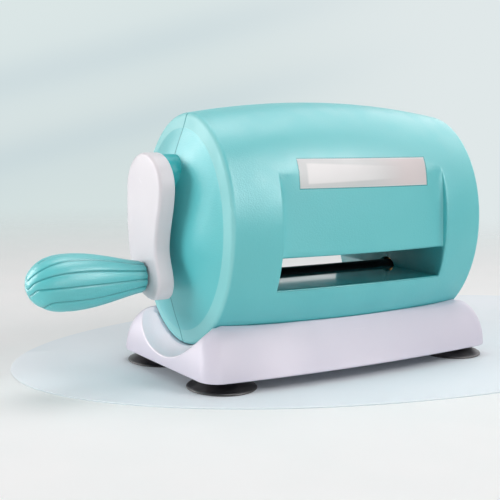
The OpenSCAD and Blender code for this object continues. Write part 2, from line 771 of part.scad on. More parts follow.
// Share of the foot's rounding that is used up at s
function arm_heel(s) = max(0, (s - throw - arm_foot + arm_foot_cap) / arm_foot_cap);

function arm_half_w(s) = let (
    body = arm_lobe_w + (arm_waist_w - arm_lobe_w) * ease(s, arm_cap - arm_top, arm_waist_s)
        + (arm_foot_w - arm_waist_w) * ease(s, arm_waist_s, throw),
    up = max(0, (arm_cap - arm_top - s) / arm_cap))
    body / 2 * sqrt(max(0, 1 - up * up)) * sqrt(max(0, 1 - pow(arm_heel(s), 2)));

function arm_middle(s) = -arm_lobe_shift
    + (arm_lobe_shift - arm_waist_shift) * ease(s, arm_cap - arm_top, arm_waist_s - 10)
    - (arm_foot_shift - arm_waist_shift) * ease(s, arm_waist_s - 7, throw + 3)
    - arm_toe * pow(arm_heel(s), 2);

// Level section of the arm at distance s: a rectangle with rounded corners
function arm_ring(s) = let (
    w = arm_half_w(s),
    edge = min((s + arm_top), (throw + arm_foot - s)),
    inset = edge < arm_round ? arm_round - sqrt(max(0, arm_round * arm_round - pow(arm_round - edge, 2))) : 0,
    h = arm_t / 2 - inset,
    r = min(arm_round, h, w) * 0.98)
    [for (q = [0:3], c = [0:22.5:90]) let (
        sx = q == 0 || q == 3 ? 1 : -1,
        sy = q < 2 ? 1 : -1,
        a = 90 * q + c)
        [-arm_x - arm_t / 2 + sx * (h - r) + r * cos(a),
         sy * (w - r) + r * sin(a) + arm_middle(s),
         crank_z - s]];

module crank_arm() {
    n = 26;
    color(white) difference() {
        loft([for (i = [0:n]) let (t = (1 - cos(180 * i / n)) / 2 * 0.998 + 0.001)
            arm_ring(-arm_top + t * (throw + arm_foot + arm_top))]);
        bar_x(shaft_d + 2 * fixed, -arm_x - socket_depth - 0.1, -arm_x + 1, 0, crank_z);
        bar_x(axle_d + 2 * fixed, -grip_x, -arm_x - 1.5, grip_y, grip_z);
    }
}

// Radius of the grip at a share u of its length from the arm
function grip_r(u) = let (
    swell = grip_neck_d / 2 + (grip_belly_d - grip_neck_d) / 2 * pow(sin(90 * min(u / 0.66, 1)), 1.3),
    tip = max(0, (u - 0.66) / 0.34))
    swell * sqrt(max(0.0004, 1 - pow(tip, 2.3)));

module grip_axle() {
    color(steel) {
        bar_x(axle_d, -grip_tip_x + axle_end, -arm_x - 2, grip_y, grip_z);
    }
}

sleeve_d = axle_d + 2 * running + 2;

module grip_sleeve() {
    color(nylon) difference() {
        bar_x(sleeve_d, -grip_tip_x + axle_end - 1, -grip_x, grip_y, grip_z);
        bar_x(axle_d + 2 * running, -grip_tip_x + axle_end - 2, -grip_x + 1, grip_y, grip_z);
    }
}

// The places of the points across a rib, from one groove to just before the next
rib_points = [-1, -0.82, -0.35, 0.35, 0.82];

// A ring round the grip at a share u of its length, with a groove between each two ribs
function grip_ring(u) = let (r = grip_r(u), g = min(groove_depth, r / 6))
    [for (i = [0:grip_ribs-1], k = rib_points) let (
        a = 360 * (i + 0.5 + k / 2) / grip_ribs,
        q = r - g * pow(abs(k), 6))
        [-grip_x - u * grip_len, grip_y + q * sin(a), grip_z + q * cos(a)]];

// The grip's outer form: rings joined by triangles, and closed by a fan at each end
module grip_skin() {
    shares = [0, 0.02, 0.15, 0.3, 0.45, 0.6, 0.72, 0.82, 0.9, 0.955, 0.985, 0.998];
    n = grip_ribs * len(rib_points);
    last = len(shares) - 1;
    polyhedron(
        points = concat([for (u = shares) each grip_ring(u)],
            [[-grip_x, grip_y, grip_z], [-grip_tip_x, grip_y, grip_z]]),
        faces = concat(
            [for (i = [0:last-1], j = [0:n-1]) let (k = (j + 1) % n)
                each [[i * n + k, i * n + j, (i + 1) * n + j], [i * n + k, (i + 1) * n + j, (i + 1) * n + k]]],
            [for (j = [0:n-1]) let (k = (j + 1) % n)
                each [[j, k, (last + 1) * n], [last * n + k, last * n + j, (last + 1) * n + 1]]]));
}

module grip() {
    color(teal) difference() {
        grip_skin();
        bar_x(sleeve_d + 2 * fixed, -grip_tip_x + axle_end - 1.1, -grip_x + 1, grip_y, grip_z);
    }
}

// Moves a piece from the barrel's own frame to the shared origin
module placed() translate([barrel_x, 0, 0]) children();

placed() base();
placed() front_shell();
placed() rear_shell();
placed() label_plate();
placed() left_frame();
placed() right_frame();
placed() gear_plate();
placed() gear_spacers();
placed() upper_front_tie_rod();
placed() upper_rear_tie_rod();
placed() lower_front_tie_rod();
placed() lower_rear_tie_rod();
placed() frame_screws();
placed() gear_plate_screws();
placed() upper_left_bush();
placed() upper_right_bush();
placed() upper_outer_bush();
placed() lower_left_bush();
placed() lower_right_bush();
placed() crank_inner_bush();
placed() crank_outer_bush();
placed() front_left_cup();
placed() front_right_cup();
placed() rear_left_cup();
placed() rear_right_cup();
placed() base_screws();
placed() base_nuts();
placed() shell_screws();
placed() crank_arm();
placed() crank_hub();
placed() crank_shaft();
placed() crank_pinion();
placed() hub_pin();
placed() shaft_clip();
placed() grip_axle();
placed() grip();
placed() grip_sleeve();
placed() upper_roller();
placed() drive_gear();
placed() upper_sync_gear();
placed() upper_clip();
placed() lower_roller();
placed() lower_sync_gear();
placed() lower_clip();
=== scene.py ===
# %% [markdown]
# # A hand-cranked die cutting machine
#
# The machine is a teal, barrel-shaped housing that lies in a white base on suction cups. A white
# arm with a ribbed teal grip turns two steel rollers, and a slot in the front takes the cutting
# plates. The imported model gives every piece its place. Here the mouldings get smooth surfaces
# that are worked out with numpy, and every piece gets its finish.

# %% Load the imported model
import json
from math import cos, pi, radians, sin

import bmesh
import bpy
import numpy as np
from mathutils import Matrix, Vector

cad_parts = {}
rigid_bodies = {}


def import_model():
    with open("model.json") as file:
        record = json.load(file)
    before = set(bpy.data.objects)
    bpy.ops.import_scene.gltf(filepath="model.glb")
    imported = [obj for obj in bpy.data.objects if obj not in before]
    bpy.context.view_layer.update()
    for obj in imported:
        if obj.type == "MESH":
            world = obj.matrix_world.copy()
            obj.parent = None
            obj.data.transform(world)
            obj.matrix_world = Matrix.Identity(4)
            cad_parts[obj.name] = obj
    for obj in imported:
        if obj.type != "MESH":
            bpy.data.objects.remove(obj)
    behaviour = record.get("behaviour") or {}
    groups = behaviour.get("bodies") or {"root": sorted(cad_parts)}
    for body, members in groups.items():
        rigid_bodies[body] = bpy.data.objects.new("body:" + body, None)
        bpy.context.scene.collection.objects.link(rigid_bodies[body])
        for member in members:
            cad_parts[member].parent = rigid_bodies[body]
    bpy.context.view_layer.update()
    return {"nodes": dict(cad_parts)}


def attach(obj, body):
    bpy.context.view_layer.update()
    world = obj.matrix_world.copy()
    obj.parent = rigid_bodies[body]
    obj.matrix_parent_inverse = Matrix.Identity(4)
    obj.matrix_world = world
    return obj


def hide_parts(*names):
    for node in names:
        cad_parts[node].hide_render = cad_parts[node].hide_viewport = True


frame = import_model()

# %% [markdown]
# ## The camera first
#
# The view looks down a little on the crank's end of the machine, from its left front. A camera
# is placed by its position and by three angles: yaw about the upright, pitch, and a small roll.
# The lens follows from how wide the picture is at a known distance.

# %% Camera
MM = 0.001
BARREL_X = 30.9  # mm from the model's origin to the middle of the barrel, along X
CAMERA_AT = (-265.0, -384.4, 119.8)  # mm
YAW, PITCH, ROLL = 34.11, -8.23, 1.52  # degrees
FOCAL_SHARE = 1045.9 / 500  # focal length over the picture's width
SENSOR = 36  # mm


def aim(eye, yaw, pitch, roll):
    """Turns an object whose view runs along -Z: yaw to the right of +Y, pitch up, then roll."""
    turn = (
        Matrix.Rotation(radians(-yaw), 4, "Z")
        @ Matrix.Rotation(radians(90 + pitch), 4, "X")
        @ Matrix.Rotation(radians(roll), 4, "Z")
    )
    return Matrix.Translation([v * MM for v in eye]) @ turn


camera_data = bpy.data.cameras.new("camera")
camera = bpy.data.objects.new("camera", camera_data)
bpy.context.scene.collection.objects.link(camera)
camera.matrix_world = aim(CAMERA_AT, YAW, PITCH, ROLL)
camera_data.sensor_width = SENSOR
camera_data.lens = SENSOR * FOCAL_SHARE
camera_data.clip_start = 0.01
bpy.context.scene.camera = camera
print("Lens:", round(camera_data.lens, 1), "mm on a sensor", SENSOR, "mm wide")

# %% [markdown]
# ## From a grid of points to a piece
#
# Each moulding is a patchwork of surfaces. A surface is a function of two parameters, so it is
# worked out as one array of rows and columns of points. Patches that share an edge have the same
# points there, and merging them closes the seams. What a patch closes to a single point, such as
# the middle of a dome, is merged in the same way.


# %% Grids, closed meshes and their edges
def quads(rows, cols, start, ring):
    """The four-sided faces of a grid; ring joins its last column to its first."""
    i = np.arange(rows - 1)[:, None] * cols
    j = np.arange(cols if ring else cols - 1)[None, :]
    k = (j + 1) % cols
    return start + np.stack([i + j, i + k, i + k + cols, i + j + cols], -1).reshape(-1, 4)


def make_piece(name, patches, sharp=32.0, merge=2e-6, hollow=None):
    """One mesh in metres from patches of points in mm, each a (grid, ring) pair. Where hollow is
    given, one number for each point, it becomes an attribute that the material can read."""
    points, faces, start = [], [], 0
    for grid, ring in patches:
        points.append(grid.reshape(-1, 3))
        faces.append(quads(grid.shape[0], grid.shape[1], start, ring))
        start += grid.shape[0] * grid.shape[1]
    mesh = bpy.data.meshes.new(name)
    place = (np.concatenate(points) + [BARREL_X, 0, 0]) * MM
    mesh.from_pydata(place, [], np.concatenate(faces))
    if hollow is not None:
        mesh.attributes.new("hollow", "FLOAT", "POINT").data.foreach_set("value", hollow)
    shape = bmesh.new()
    shape.from_mesh(mesh)
    bmesh.ops.remove_doubles(shape, verts=shape.verts, dist=merge)
    bmesh.ops.dissolve_degenerate(shape, edges=shape.edges, dist=merge)
    bmesh.ops.recalc_face_normals(shape, faces=shape.faces)
    open_edges = sum(1 for e in shape.edges if not e.is_manifold)
    shape.to_mesh(mesh)
    shape.free()
    mesh.shade_smooth()
    mesh.set_sharp_from_angle(angle=radians(sharp))
    piece = bpy.data.objects.new(name, mesh)
    bpy.context.scene.collection.objects.link(piece)
    print(name, len(mesh.vertices), "points,", open_edges, "open edges")
    return piece


def stack(x, y, z):
    """Three arrays, or numbers, as one grid of points."""
    return np.stack(np.broadcast_arrays(x, y, z), -1).astype(float)


def wall_between(outer, inner):
    """The strip that joins two lines of points, such as the edges of a wall's two faces."""
    return np.stack([outer, inner])


def border(grid):
    """The line once round a grid's edge."""
    return np.concatenate([grid[0, :-1], grid[:-1, -1], grid[-1, :0:-1], grid[:0:-1, 0]])


def turned(profile, centre, axis="z", sides=64):
    """A profile of (radius, distance along the axis) carried round the axis through centre."""
    radius, along = np.asarray(profile).T[:, :, None]
    a = np.linspace(0, 2 * pi, sides, endpoint=False)
    if axis == "z":
        return stack(centre[0] + radius * np.cos(a), centre[1] + radius * np.sin(a), along)
    return stack(along, centre[1] + radius * np.sin(a), centre[2] + radius * np.cos(a))


def rounded(radius, points=5):
    """Two rows of distances for a rounded edge, a quarter circle: what is left to the far side
    (1 - sine of the turn), and what has been gone down (1 - cosine)."""
    turn = np.linspace(0, pi / 2, points)
    return radius * (1 - np.sin(turn)), radius * (1 - np.cos(turn))


# %% [markdown]
# ## The barrel's form
#
# The housing is oval across and a little fuller in the middle of its length. Each end has a flat
# band, tilted out a little, with a rounded outer edge, and a shallow dome inside a crease. One
# half profile, from the tip of the dome to the middle of the barrel, describes all of that.
# Inset by the wall's thickness, the same profile gives the inside.

# %% Barrel profile
HALF_LEN = 70.0
BARREL_H, RIM_H, BARREL_D = 110.6, 99.2, 84.8
AXIS_Z = 63.5
FLATNESS = BARREL_D / BARREL_H
RIM_ROUND, LEAST_ROUND = 2.5, 0.3  # rounding of the rim, and what is left of it inside
BAND_W, BAND_OUT, DOME_RISE = 6.2, 1.2, 8.8
CREASE_R = RIM_H / 2 - BAND_W
WALL = 2.2


def barrel_r(x):
    """Half the height of the oval at x, which falls with the square of x."""
    return BARREL_H / 2 - (BARREL_H - RIM_H) / 2 * (np.asarray(x) / HALF_LEN) ** 2


def barrel_y(x, z, t=0.0):
    """How far the surface stands in front of the axis at x and z: the oval solved for depth."""
    return FLATNESS * np.sqrt(np.maximum((barrel_r(x) - t) ** 2 - (z - AXIS_Z) ** 2, 0))


def end_profile(t):
    """x and half-height from the dome's tip to the end of the rim's rounding, inset by t."""
    share = np.concatenate([np.linspace(0, 0.96, 15), [1.0]])
    dome = np.stack([HALF_LEN + BAND_OUT + DOME_RISE * (1 - share**2) - t, share * CREASE_R])
    centre = np.array([HALF_LEN - RIM_ROUND, barrel_r(HALF_LEN - RIM_ROUND) - RIM_ROUND])
    to_centre = centre - dome[:, -1]
    radius = max(RIM_ROUND - t, LEAST_ROUND)
    first = np.arctan2(to_centre[1], to_centre[0]) - np.arcsin(radius / np.hypot(*to_centre))
    turn = np.linspace(first - pi / 2, pi / 2, 10)
    edge = centre[:, None] + radius * np.stack([np.cos(turn), np.sin(turn)])
    band = dome[:, -1:] + (edge[:, :1] - dome[:, -1:]) * np.array([0.06, 0.35, 0.7, 0.94])
    return np.concatenate([dome, band, edge], axis=1)


# %% [markdown]
# ## The apron, the slot and the passage
#
# The front has a window. Its upper part is an apron that hides the upper roller: it starts flush
# with the barrel and leans out a little as it goes down. Below it the slot runs through to the
# rear. All outer edges are rounded, as a moulding's are, and the apron meets the side walls in a
# soft hollow fillet. The rear has only the slot, whose floor slopes down behind the rollers so
# that light comes through, and the holes for the joining screws.

# %% Sizes of the window, in mm
SLOT_HALF = 45.8
FLOOR_Z, CEILING_Z, APRON_TOP_Z = 41.0, 54.5, 90.5
APRON_LEAN = 2.9
BROW_KINK, BROW_REACH, BROW_SIDES = 0.35, 8.5, (35.0, 40.5)
LIP, APRON_EDGE = 0.9, 0.8  # rounding of the window's outer edge and of the apron's lower edge
INNER_ROUND = 0.1  # what is left of both on the inside
SOFT_X, SOFT_Y = 5.0, 1.15  # the hollow fillet's reach along X and into the depth
LOWER_Z, UPPER_Z = 38.5, 57.5  # heights of the rollers' axes
ROLLERS = ((LOWER_Z, 6.2), (UPPER_Z, 7.2))  # with the radius of each one's slot
SCREW_X, SCREW_Z, SCREW_HOLE = 34.0, (107.0, 22.0), 3.2
SEAT_Y, HOLE_BOX = 11.9, 3.9  # where a screw's hole ends, half the square round its mouth
HOLE_ROUND, HOLE_DRAFT = 0.3, 0.45  # rounding of its edge, widening for each mm of inset
SEAM, SEAM_DEEP, SEAM_REST = 0.4, 0.06, 0.01  # width, share of the wall, what stays open below
SILL_DROP = 6.4  # the rear opening's lower edge lies this much below the passage's floor
SOFT_ARC, FLAT_COLUMNS = np.sin(np.linspace(pi / 2, 0, 8)), 25


def apron_y(x, z, t):
    """Depth of the apron: that of the barrel at the top line, plus a lean that grows downwards."""
    lean = APRON_LEAN * (APRON_TOP_Z - z) / (APRON_TOP_Z - CEILING_Z)
    return barrel_y(x, APRON_TOP_Z, t) + lean


def brow_bite(x, z):
    """What rounding the brow takes off, where the apron leaves the barrel: a parabola between the
    two slopes, thinning out towards the window's sides (3s^2 - 2s^3)."""
    bite = BROW_KINK * np.maximum(BROW_REACH - np.abs(z - APRON_TOP_Z), 0) ** 2 / (4 * BROW_REACH)
    s = np.clip((BROW_SIDES[1] - np.abs(x)) / (BROW_SIDES[1] - BROW_SIDES[0]), 0, 1)
    return bite * (3 - 2 * s) * s**2


def between(stops, counts):
    """Numbers that run through the stops, with counts steps from each stop to the next."""
    runs = [np.linspace(a, b, n + 1)[1:] for a, b, n in zip(stops[:-1], stops[1:], counts)]
    return np.concatenate([[stops[0]]] + runs)


def window_columns(w, lip, front):
    """x of the columns over the window: crowded at its rounded sides and at the soft fillets,
    or at the screw holes."""
    sides = w + rounded(lip)[0]
    if front:
        soft = w - SOFT_X + SOFT_X * SOFT_ARC[1:-1]
        middle = np.linspace(SOFT_X - w, w - SOFT_X, FLAT_COLUMNS)
        return np.concatenate([-sides, -soft, middle, soft[::-1], sides[::-1]])
    low, high = SCREW_X - HOLE_BOX, SCREW_X + HOLE_BOX
    middle = between([-w, -high, -low, low, high, w], [4, 8, 18, 8, 4])[1:-1]
    return np.concatenate([-sides, middle, sides[::-1]])


def outer_face(t, x_window, heights, counts):
    """Rows from the upper seam to the lower one, columns from dome to dome. x and half-height
    come from the profile, and the angle down each column meets the given heights."""
    ends = end_profile(t)
    beyond = np.linspace(HALF_LEN - RIM_ROUND, x_window[-1], 12)[1:-1]
    middle = np.concatenate([-beyond, x_window, beyond[::-1]])
    x = np.concatenate([-ends[0], middle, ends[0][::-1]])
    r = np.concatenate([ends[1], barrel_r(middle) - t, ends[1][::-1]])
    r_key = barrel_r(np.minimum(np.abs(x), x_window[-1])) - t
    keys = np.arccos(np.clip((np.asarray(heights)[:, None] - AXIS_Z) / r_key, -1, 1))
    keys = np.concatenate([np.zeros((1, len(x))), keys, np.full((1, len(x)), pi)])
    angle = np.concatenate(
        [keys[:1]]
        + [a + (b - a) * between([0, 1], [n])[1:, None] for a, b, n in zip(keys, keys[1:], counts)]
    )
    y = -FLATNESS * r * np.sin(angle)
    return stack(x, np.minimum(y, -SEAM / 2 if t == 0 else -SEAM_REST), AXIS_Z + r * np.cos(angle))


def without(grid, holes):
    """The grid cut into blocks, leaving out those inside holes, given as row and column ranges."""
    rows = sorted({0, grid.shape[0] - 1} | {r for h in holes for r in h[:2]})
    cols = sorted({0, grid.shape[1] - 1} | {c for h in holes for c in h[2:]})
    return [
        (grid[a : b + 1, c : d + 1], False)
        for a, b in zip(rows, rows[1:])
        for c, d in zip(cols, cols[1:])
        if not any(h[0] <= a and b <= h[1] and h[2] <= c and d <= h[3] for h in holes)
    ]


# %% [markdown]
# Each face of a shell is made for an inset t, which is 0 for the outside and the wall's
# thickness for the inside. Both faces have the same rows and columns, so their edges match.


# %% Edges and fillings of a face
def roller_edge(t, steps):
    """y and z where a passage wall ends at the rollers' slots and at the seam between them."""
    (z0, r0), (z1, r1) = ROLLERS
    a = np.linspace(np.arcsin((FLOOR_Z - t - z0) / r0), pi / 2, steps[0] + 1)
    b = np.linspace(-pi / 2, np.arcsin((CEILING_Z + t - z1) / r1), steps[2] + 1)
    up = np.linspace(z0 + r0, z1 - r1, steps[1] + 1)[1:-1]
    y = np.concatenate([-r0 * np.cos(a), 0 * up, -r1 * np.cos(b)])
    z = np.concatenate([z0 + r0 * np.sin(a), up, z1 + r1 * np.sin(b)])
    return np.minimum(y, -SEAM / 2), z


def coons(left, right, bottom, top, share):
    """A flat patch between four edges: what runs between left and right, plus what runs between
    bottom and top, less the plain slope between the four corners."""
    u = np.linspace(0, 1, len(left))[:, None, None]
    v = share[None, :, None]
    across = (1 - v) * left[:, None] + v * right[:, None]
    along = (1 - u) * bottom[None] + u * top[None]
    corners = (1 - u) * ((1 - v) * bottom[0] + v * bottom[-1])
    corners = corners + u * ((1 - v) * top[0] + v * top[-1])
    return across + along - corners


def on_barrel_line(x, z, depth, t):
    """Points at x and z that lie so deep below the barrel's surface."""
    return stack(x, depth - barrel_y(x, z, t), z)


# %% The apron
def apron_patches(t, w, z_up, lip, edge):
    """The apron with its rounded and soft sides, its rounded lower edge, and the points at its
    side where the passage's wall begins. At the top it runs out flush, so all shrinks there."""
    out, deep = rounded(lip)

    def room(x):
        return barrel_y(x, z_up, t) - apron_y(x, z_up, t)

    scale = np.clip(room(w) / (lip + SOFT_Y), 0, 1)
    x_soft = w - SOFT_X + SOFT_X * SOFT_ARC[:-1]
    soft = room(x_soft) - SOFT_Y * scale * (1 - np.sqrt(1 - SOFT_ARC[:-1] ** 2))
    wall = lip * scale + (soft[:, :1] - lip * scale) * np.array([0.5])
    x_half = np.concatenate([w + out, [w], x_soft])
    depth_half = np.concatenate([deep * scale, wall, soft], axis=1)
    x_flat = np.linspace(SOFT_X - w, w - SOFT_X, FLAT_COLUMNS)
    x = np.concatenate([-x_half, x_flat, x_half[::-1]])
    depth = np.concatenate([depth_half, room(x_flat), depth_half[:, ::-1]], axis=1)
    depth = np.maximum(depth, 0) + brow_bite(x, z_up)
    apron = on_barrel_line(x, z_up, depth, t)
    last_x, last_y, last_z = apron[-1, len(out) + 1 : -len(out) - 1].T
    up, back = rounded(edge)
    lower = stack(last_x, last_y + back[:, None], last_z - (edge - up)[:, None])
    at_side = apron[-1, len(out) - 1 : len(out) + 1, 1:]
    return apron, lower, np.concatenate([at_side, lower[:, 0, 1:]])


# %% One face of a shell
def shell_face(t, front):
    """The patches of one face of the front or rear shell, and the lines where it meets the other
    face. The front is at -Y; the rear is worked out in the same place and turned later."""
    w, floor, ceiling = SLOT_HALF + t, FLOOR_Z - t, CEILING_Z + t
    sill = floor if front else floor - SILL_DROP
    lip, edge = (max(radius - t, INNER_ROUND) for radius in (LIP, APRON_EDGE))
    out, deep = rounded(lip)
    x_window = window_columns(w, lip, front)
    if front:
        heights = [APRON_TOP_Z, ceiling + edge, floor - lip]
        counts = [22, 20, 16, 18]
    else:
        box = [z + s * HOLE_BOX for z in SCREW_Z for s in (1, -1)]
        heights = box[:2] + [ceiling + lip, sill - lip] + box[2:]
        counts = [6, 8, 16, 16, 6, 8, 6]
    face = outer_face(t, x_window, heights, counts)
    row = np.cumsum([0] + counts)
    if front:
        above = face[: row[1] + 1]
        above[..., 1] += brow_bite(above[..., 0], above[..., 2])
    first = (face.shape[1] - len(x_window)) // 2
    last = first + len(x_window) - 1
    slot_top, slot_bottom = (row[2], row[3]) if front else (row[3], row[4])
    z_side = face[slot_top : slot_bottom + 1, first, 2][::-1]

    # the window's rounded lower edge, and its two sides along the slot
    shrink = (w + out) / (w + lip)
    x_lip = x_window[None, :] * shrink[:, None]
    z_low = sill - out[:, None]
    patches = [on_barrel_line(x_lip, z_low, deep[:, None], t)]
    share_up = (z_side - z_side[0]) / (z_side[-1] - z_side[0])
    z_high = np.full_like(z_low, z_side[-1]) if front else ceiling + out[:, None]
    z_strip = z_low + (z_high - z_low) * share_up[None, :]
    strip = on_barrel_line((w + out)[:, None], z_strip, deep[:, None], t)
    patches += [strip, strip * [-1, 1, 1]]

    # what lies above the slot: the apron, or the window's rounded upper edge
    if front:
        z_up = face[row[1] : row[2] + 1, first, 2][:, None]
        apron, lower, top_edge = apron_patches(t, w, z_up, lip, edge)
        patches += [apron, lower]
        ceiling_start = lower[-1]
    else:
        head = on_barrel_line(x_lip, (ceiling + out)[:, None], deep[:, None], t)
        patches.append(head)
        ceiling_start = head[-1]
        top_edge = head[-1, :1, 1:]

    # the passage's ceiling, floor and side walls, as far as the rollers
    n = (len(z_side) - 1) // 2 - 2
    end_y, end_z = roller_edge(t, (n, len(z_side) - 1 - 2 * n, n))
    back = stack(0, between([0, 1], [9]), 0)[:, None, :]
    to_end = end_y[-1] - ceiling_start[None, :, 1:2]
    ceiling_rows = ceiling_start[None] + to_end * back
    top_edge = np.concatenate([top_edge, ceiling_rows[1:, 0, 1:]])
    share = (top_edge[:, 0] - top_edge[0, 0]) / (top_edge[-1, 0] - top_edge[0, 0])
    x_floor = x_lip[-1]
    mouth_y = lip - barrel_y(x_floor, sill, t)
    floor_y = mouth_y + (end_y[0] - mouth_y) * share[:, None]
    floor_rows = stack(x_floor, floor_y, sill + (floor - sill) * share[:, None])
    end = np.stack([end_y, end_z], -1)
    side = coons(strip[-1, :, 1:], end, floor_rows[:, 0, 1:], top_edge, share)
    walls = [stack(s * w, side[..., 0], side[..., 1]) for s in (-1, 1)]
    patches += [ceiling_rows, floor_rows, *walls]
    edges = [ceiling_rows[-1], floor_rows[-1], *(wall[:, -1] for wall in walls)]

    # the rest of the face, with the window and the screw holes left out
    patches = [(grid, False) for grid in patches]
    holes = [(row[1] if front else slot_top, slot_bottom, first, last)]
    if not front:
        x_line = face[0, :, 0]
        for x0 in (-SCREW_X, SCREW_X):
            c0, c1 = (int(np.argmin(abs(x_line - x0 - s * HOLE_BOX))) for s in (-1, 1))
            for z0, r0, r1 in ((SCREW_Z[0], row[1], row[2]), (SCREW_Z[1], row[5], row[6])):
                holes.append((r0, r1, c0, c1))
                patches.append((screw_mouth(face[r0 : r1 + 1, c0 : c1 + 1], x0, z0, t), True))
    return patches + without(face, holes), edges + [face[0], face[-1]]


# %% Screw holes, and the two shells
def screw_mouth(square, x0, z0, t):
    """From the rim of a square of the face to a round hole with a rounded edge, down its wall to
    its seat, and to the middle of the seat."""
    loop = border(square)
    turn = np.arctan2(loop[:, 2] - z0, loop[:, 0] - x0)
    hole = SCREW_HOLE + HOLE_DRAFT * t
    rows = [loop]
    for out, down in ((1, 0), (0.3, 0.3), (0, 1)):
        radius, depth = hole + out * HOLE_ROUND, down * HOLE_ROUND
        x, z = x0 + radius * np.cos(turn), z0 + radius * np.sin(turn)
        rows.append(on_barrel_line(x, z, depth, t))
    seat = t - SEAT_Y
    for radius in (hole, 0.0):
        rows.append(stack(x0 + radius * np.cos(turn), seat, z0 + radius * np.sin(turn)))
    return np.stack(rows)


def make_shell(name, front):
    """Both faces of a shell and the strips that join their edges, as one closed piece. Where the
    two shells meet, the strip bends near the outside, so that a thin seam stays open there."""
    outside, outer_edges = shell_face(0.0, front)
    inside, inner_edges = shell_face(WALL, front)
    joins = [(wall_between(a, b), False) for a, b in zip(outer_edges[:-2], inner_edges)]
    for a, b in zip(outer_edges[-2:], inner_edges[-2:]):
        foot = a + (b - a) * SEAM_DEEP
        foot[:, 1] = -SEAM_REST
        joins.append((np.stack([a, foot, b]), False))
    turn = [1, 1, 1] if front else [1, -1, 1]
    return make_piece(name, [(g * turn, ring) for g, ring in outside + inside + joins])


front_shell = make_shell("front_housing", True)
rear_shell = make_shell("rear_housing", False)
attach(front_shell, "body")
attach(rear_shell, "body")
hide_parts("front_shell")
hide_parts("rear_shell")


# %% [markdown]
# ## The base
#
# The base is one white moulding, open underneath. From the foot its sides rise as a quarter of an
# oval to the barrel. Past the barrel's ends its top is scooped out round the rim, so the edge of
# the scoop dips in the middle of each end. That edge is where the outer form meets the scoop, and
# halving the height's range again and again finds it for every column of the grid at once.

# %% Outline of the base
BASE_HALF, BASE_D, BASE_END_D = 80.3, 86.4, 77.0
BASE_LOW, BASE_HIGH, BASE_WALL = 5.0, 25.6, 2.4
TOP_HALF = HALF_LEN + 0.5  # half the length at the very top
CORNER, CORNER_LOSS = 9.0, 0.45  # its radius at the foot, and the share it loses upwards
FOOT_EDGE, RIDGE, GAP = 0.6, 0.7, 0.3
SCOOP_DEPTH, SCOOP_REACH = 4.7, 4.4
SPINE_SHARE, SPINE_END = 0.8, 56  # where the bed's rows meet: a share of x, up to an end
HALVINGS = 30


def base_outline(u, t):
    """x and y round the base at height shares u, a row of which runs once round: along a bowed
    side, round a corner's arc and along half an end, and the same mirrored three times."""
    parts = [between([0, 1], [20]), between([0, pi / 2], [10])[1:], between([0, 1], [10])[1:]]
    kind = np.repeat([0, 1, 2], [len(part) for part in parts])
    value = np.concatenate(parts)
    quarter = len(value)
    order = np.concatenate([np.arange(quarter), np.arange(quarter)[::-1][1:]])
    kind, value = np.tile(kind[order], 2), np.tile(value[order], 2)
    sign_x = np.repeat([1, -1], 2 * quarter - 1)
    sign_y = np.repeat([1, -1, 1], [quarter, 2 * quarter - 1, quarter - 1])
    quarter_oval = np.sqrt(np.maximum(1 - u * u, 0))
    half = TOP_HALF + (BASE_HALF - TOP_HALF) * quarter_oval - t
    corner = np.maximum(CORNER * (1 - CORNER_LOSS * u) - t, 1)

    def half_depth(x):
        near = FLATNESS * np.sqrt((BARREL_H / 2) ** 2 - (BASE_HIGH - AXIS_Z) ** 2)
        far = float(barrel_y(HALF_LEN, BASE_HIGH))
        w = (x / BASE_HALF) ** 2
        middle = BASE_D / 2 - (BASE_D / 2 - near) * u
        ends = far + (BASE_END_D / 2 - far) * quarter_oval
        return (1 - w) * middle + w * ends - t

    straight = half - corner
    on_side, on_corner = kind == 0, kind == 1
    x = np.where(on_corner, straight + corner * np.sin(value), half)
    x = np.where(on_side, value * straight, x)
    at_corner = half_depth(straight) - corner
    y = np.where(on_corner, at_corner + corner * np.cos(value), at_corner * (1 - value))
    y = np.where(on_side, half_depth(x), y)
    return sign_x * x, sign_y * y


def cradle_z(x, y, t):
    """Height of the barrel's bed: the barrel's oval and a gap, widening past each rim."""
    past = np.maximum(np.abs(x) - HALF_LEN, 0)
    r = barrel_r(np.minimum(np.abs(x), HALF_LEN)) + GAP + t
    r = r + SCOOP_DEPTH * (1 - np.exp(-past / SCOOP_REACH))
    return AXIS_Z - np.sqrt(np.maximum(r * r - (y / FLATNESS) ** 2, 0))


# %% Faces and posts of the base
def base_face(t):
    """One face of the base: up its side from the foot, over the ridge, and down across the bed
    to the middle line."""
    low, high = 0.0, 1.0
    for _ in range(HALVINGS):
        u = (low + high) / 2
        x, y = base_outline(u, t)
        inside = BASE_LOW + (BASE_HIGH - BASE_LOW) * u > cradle_z(x, y, t)
        high, low = np.where(inside, u, high), np.where(inside, low, u)
    ridge = (low + high) / 2
    rise = BASE_HIGH - BASE_LOW
    start, stop = FOOT_EDGE / rise, ridge - RIDGE / rise
    u = start + (stop - start) * between([0, 1], [18])[:, None]
    x, y = base_outline(u, t)
    side = stack(x, y, BASE_LOW + rise * u)
    x, y = base_outline(ridge, t)
    top = stack(x, y, BASE_LOW + rise * ridge)
    middle_x = np.clip(SPINE_SHARE * x, -SPINE_END, SPINE_END)
    reach = np.hypot(x - middle_x, y)
    first = RIDGE / reach
    w = first + (1 - first) * (between([0, 1], [26]) ** 2)[:, None]
    bed_x, bed_y = x + (middle_x - x) * w, y * (1 - w)
    bed = stack(bed_x, bed_y, cradle_z(bed_x, bed_y, t))
    s = np.array([0.25, 0.5, 0.75])[:, None, None]
    over = (1 - s) ** 2 * side[-1] + 2 * s * (1 - s) * top + s**2 * bed[0]
    return np.concatenate([side, over, bed])


